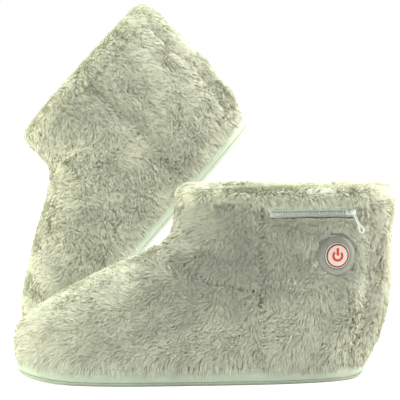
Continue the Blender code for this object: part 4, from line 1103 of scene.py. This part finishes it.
def white_floor():
    """Paper under the boots, which the camera sees as white away from their shadow."""
    bm = bmesh.new()
    bmesh.ops.create_grid(bm, x_segments=1, y_segments=1, size=6.0)
    mesh = mesh_of(bm, "floor")
    white, tree, shader = start_material("floor_paper", Roughness=0.9, Base_Color=WHITE,
                                         Emission_Color=WHITE)
    ray = add(tree, "ShaderNodeLightPath").outputs["Is Camera Ray"]
    place = add(tree, "ShaderNodeTexCoord").outputs["Object"]
    away = add(tree, "ShaderNodeVectorMath", operation="LENGTH", links=((0, place),))
    glow = add(tree, "ShaderNodeMapRange", links=(("Value", away.outputs["Value"]),),
               values=(("From Min", 0.45), ("From Max", 1.2), ("To Min", 0.62), ("To Max", 1.0)))
    lift = add(tree, "ShaderNodeMath", operation="MULTIPLY",
               links=((0, ray), (1, glow.outputs["Result"])))
    tree.links.new(lift.outputs[0], shader.inputs["Emission Strength"])
    mesh.materials.append(white)
    placed("floor", mesh)


def studio_world():
    """A world that is white to the camera and lights the boots with less than that."""
    world = bpy.data.worlds.new("studio")
    world.use_nodes = True
    tree = world.node_tree
    back = tree.nodes["Background"]
    back.inputs["Color"].default_value = WHITE
    ray = add(tree, "ShaderNodeLightPath").outputs["Is Camera Ray"]
    strength = add(tree, "ShaderNodeMapRange", values=(("To Min", 0.3), ("To Max", 1.0)),
                   links=(("Value", ray),))
    tree.links.new(strength.outputs["Result"], back.inputs["Strength"])
    return world


def photo_camera():
    """The camera that was fitted to the photo."""
    camera = bpy.data.cameras.new("camera")
    camera.lens = CAMERA_LENS
    camera.sensor_width = 36
    camera.clip_start, camera.clip_end = 0.05, 50
    made = placed("camera", camera)
    up = CAMERA_RIGHT.cross(CAMERA_FORWARD)
    turn = Matrix((CAMERA_RIGHT, up, -CAMERA_FORWARD)).transposed().to_4x4()
    made.matrix_world = Matrix.Translation(CAMERA_PLACE) @ turn
    return made


class BOOTS_OT_stage(bpy.types.Operator):
    """Set the white floor, the soft light and the camera at the photograph's angle"""

    bl_idname = "boots.stage"
    bl_label = "Stage"

    def execute(self, context):
        white_floor()
        context.scene.world = studio_world()
        for box in SOFTBOXES:
            softbox(*box)
        context.scene.camera = photo_camera()
        context.scene.view_settings.view_transform = "Standard"
        return {"FINISHED"}


class BOOTS_PT_panel(bpy.types.Panel):
    """The boots' pieces, sizes and colours in the sidebar"""

    bl_label = "Plush Boots"
    bl_idname = "BOOTS_PT_panel"
    bl_space_type = "VIEW_3D"
    bl_region_type = "UI"
    bl_category = "Boots"

    def draw(self, context):
        layout = self.layout
        for operator in OPERATORS:
            layout.operator(operator.bl_idname)
        for group in (context.scene.boot_sizes, context.scene.boot_colours):
            for name in group.bl_rna.properties.keys():
                if name not in ("rna_type", "name"):
                    layout.prop(group, name)


OPERATORS = (BOOTS_OT_soles, BOOTS_OT_panels, BOOTS_OT_linings, BOOTS_OT_zip,
             BOOTS_OT_button, BOOTS_OT_insides, BOOTS_OT_stage)
CLASSES = (BootSizes, BootColours) + OPERATORS + (BOOTS_PT_panel,)


def register():
    for one in CLASSES:
        bpy.utils.register_class(one)
    bpy.types.Scene.boot_sizes = bpy.props.PointerProperty(type=BootSizes)
    bpy.types.Scene.boot_colours = bpy.props.PointerProperty(type=BootColours)


def unregister():
    del bpy.types.Scene.boot_colours
    del bpy.types.Scene.boot_sizes
    for one in reversed(CLASSES):
        bpy.utils.unregister_class(one)


def main():
    register()
    bpy.ops.boots.soles()
    bpy.ops.boots.panels()
    bpy.ops.boots.linings()
    bpy.ops.boots.zip()
    bpy.ops.boots.button()
    bpy.ops.boots.insides()
    bpy.ops.boots.stage()


if __name__ == "__main__":
    main()
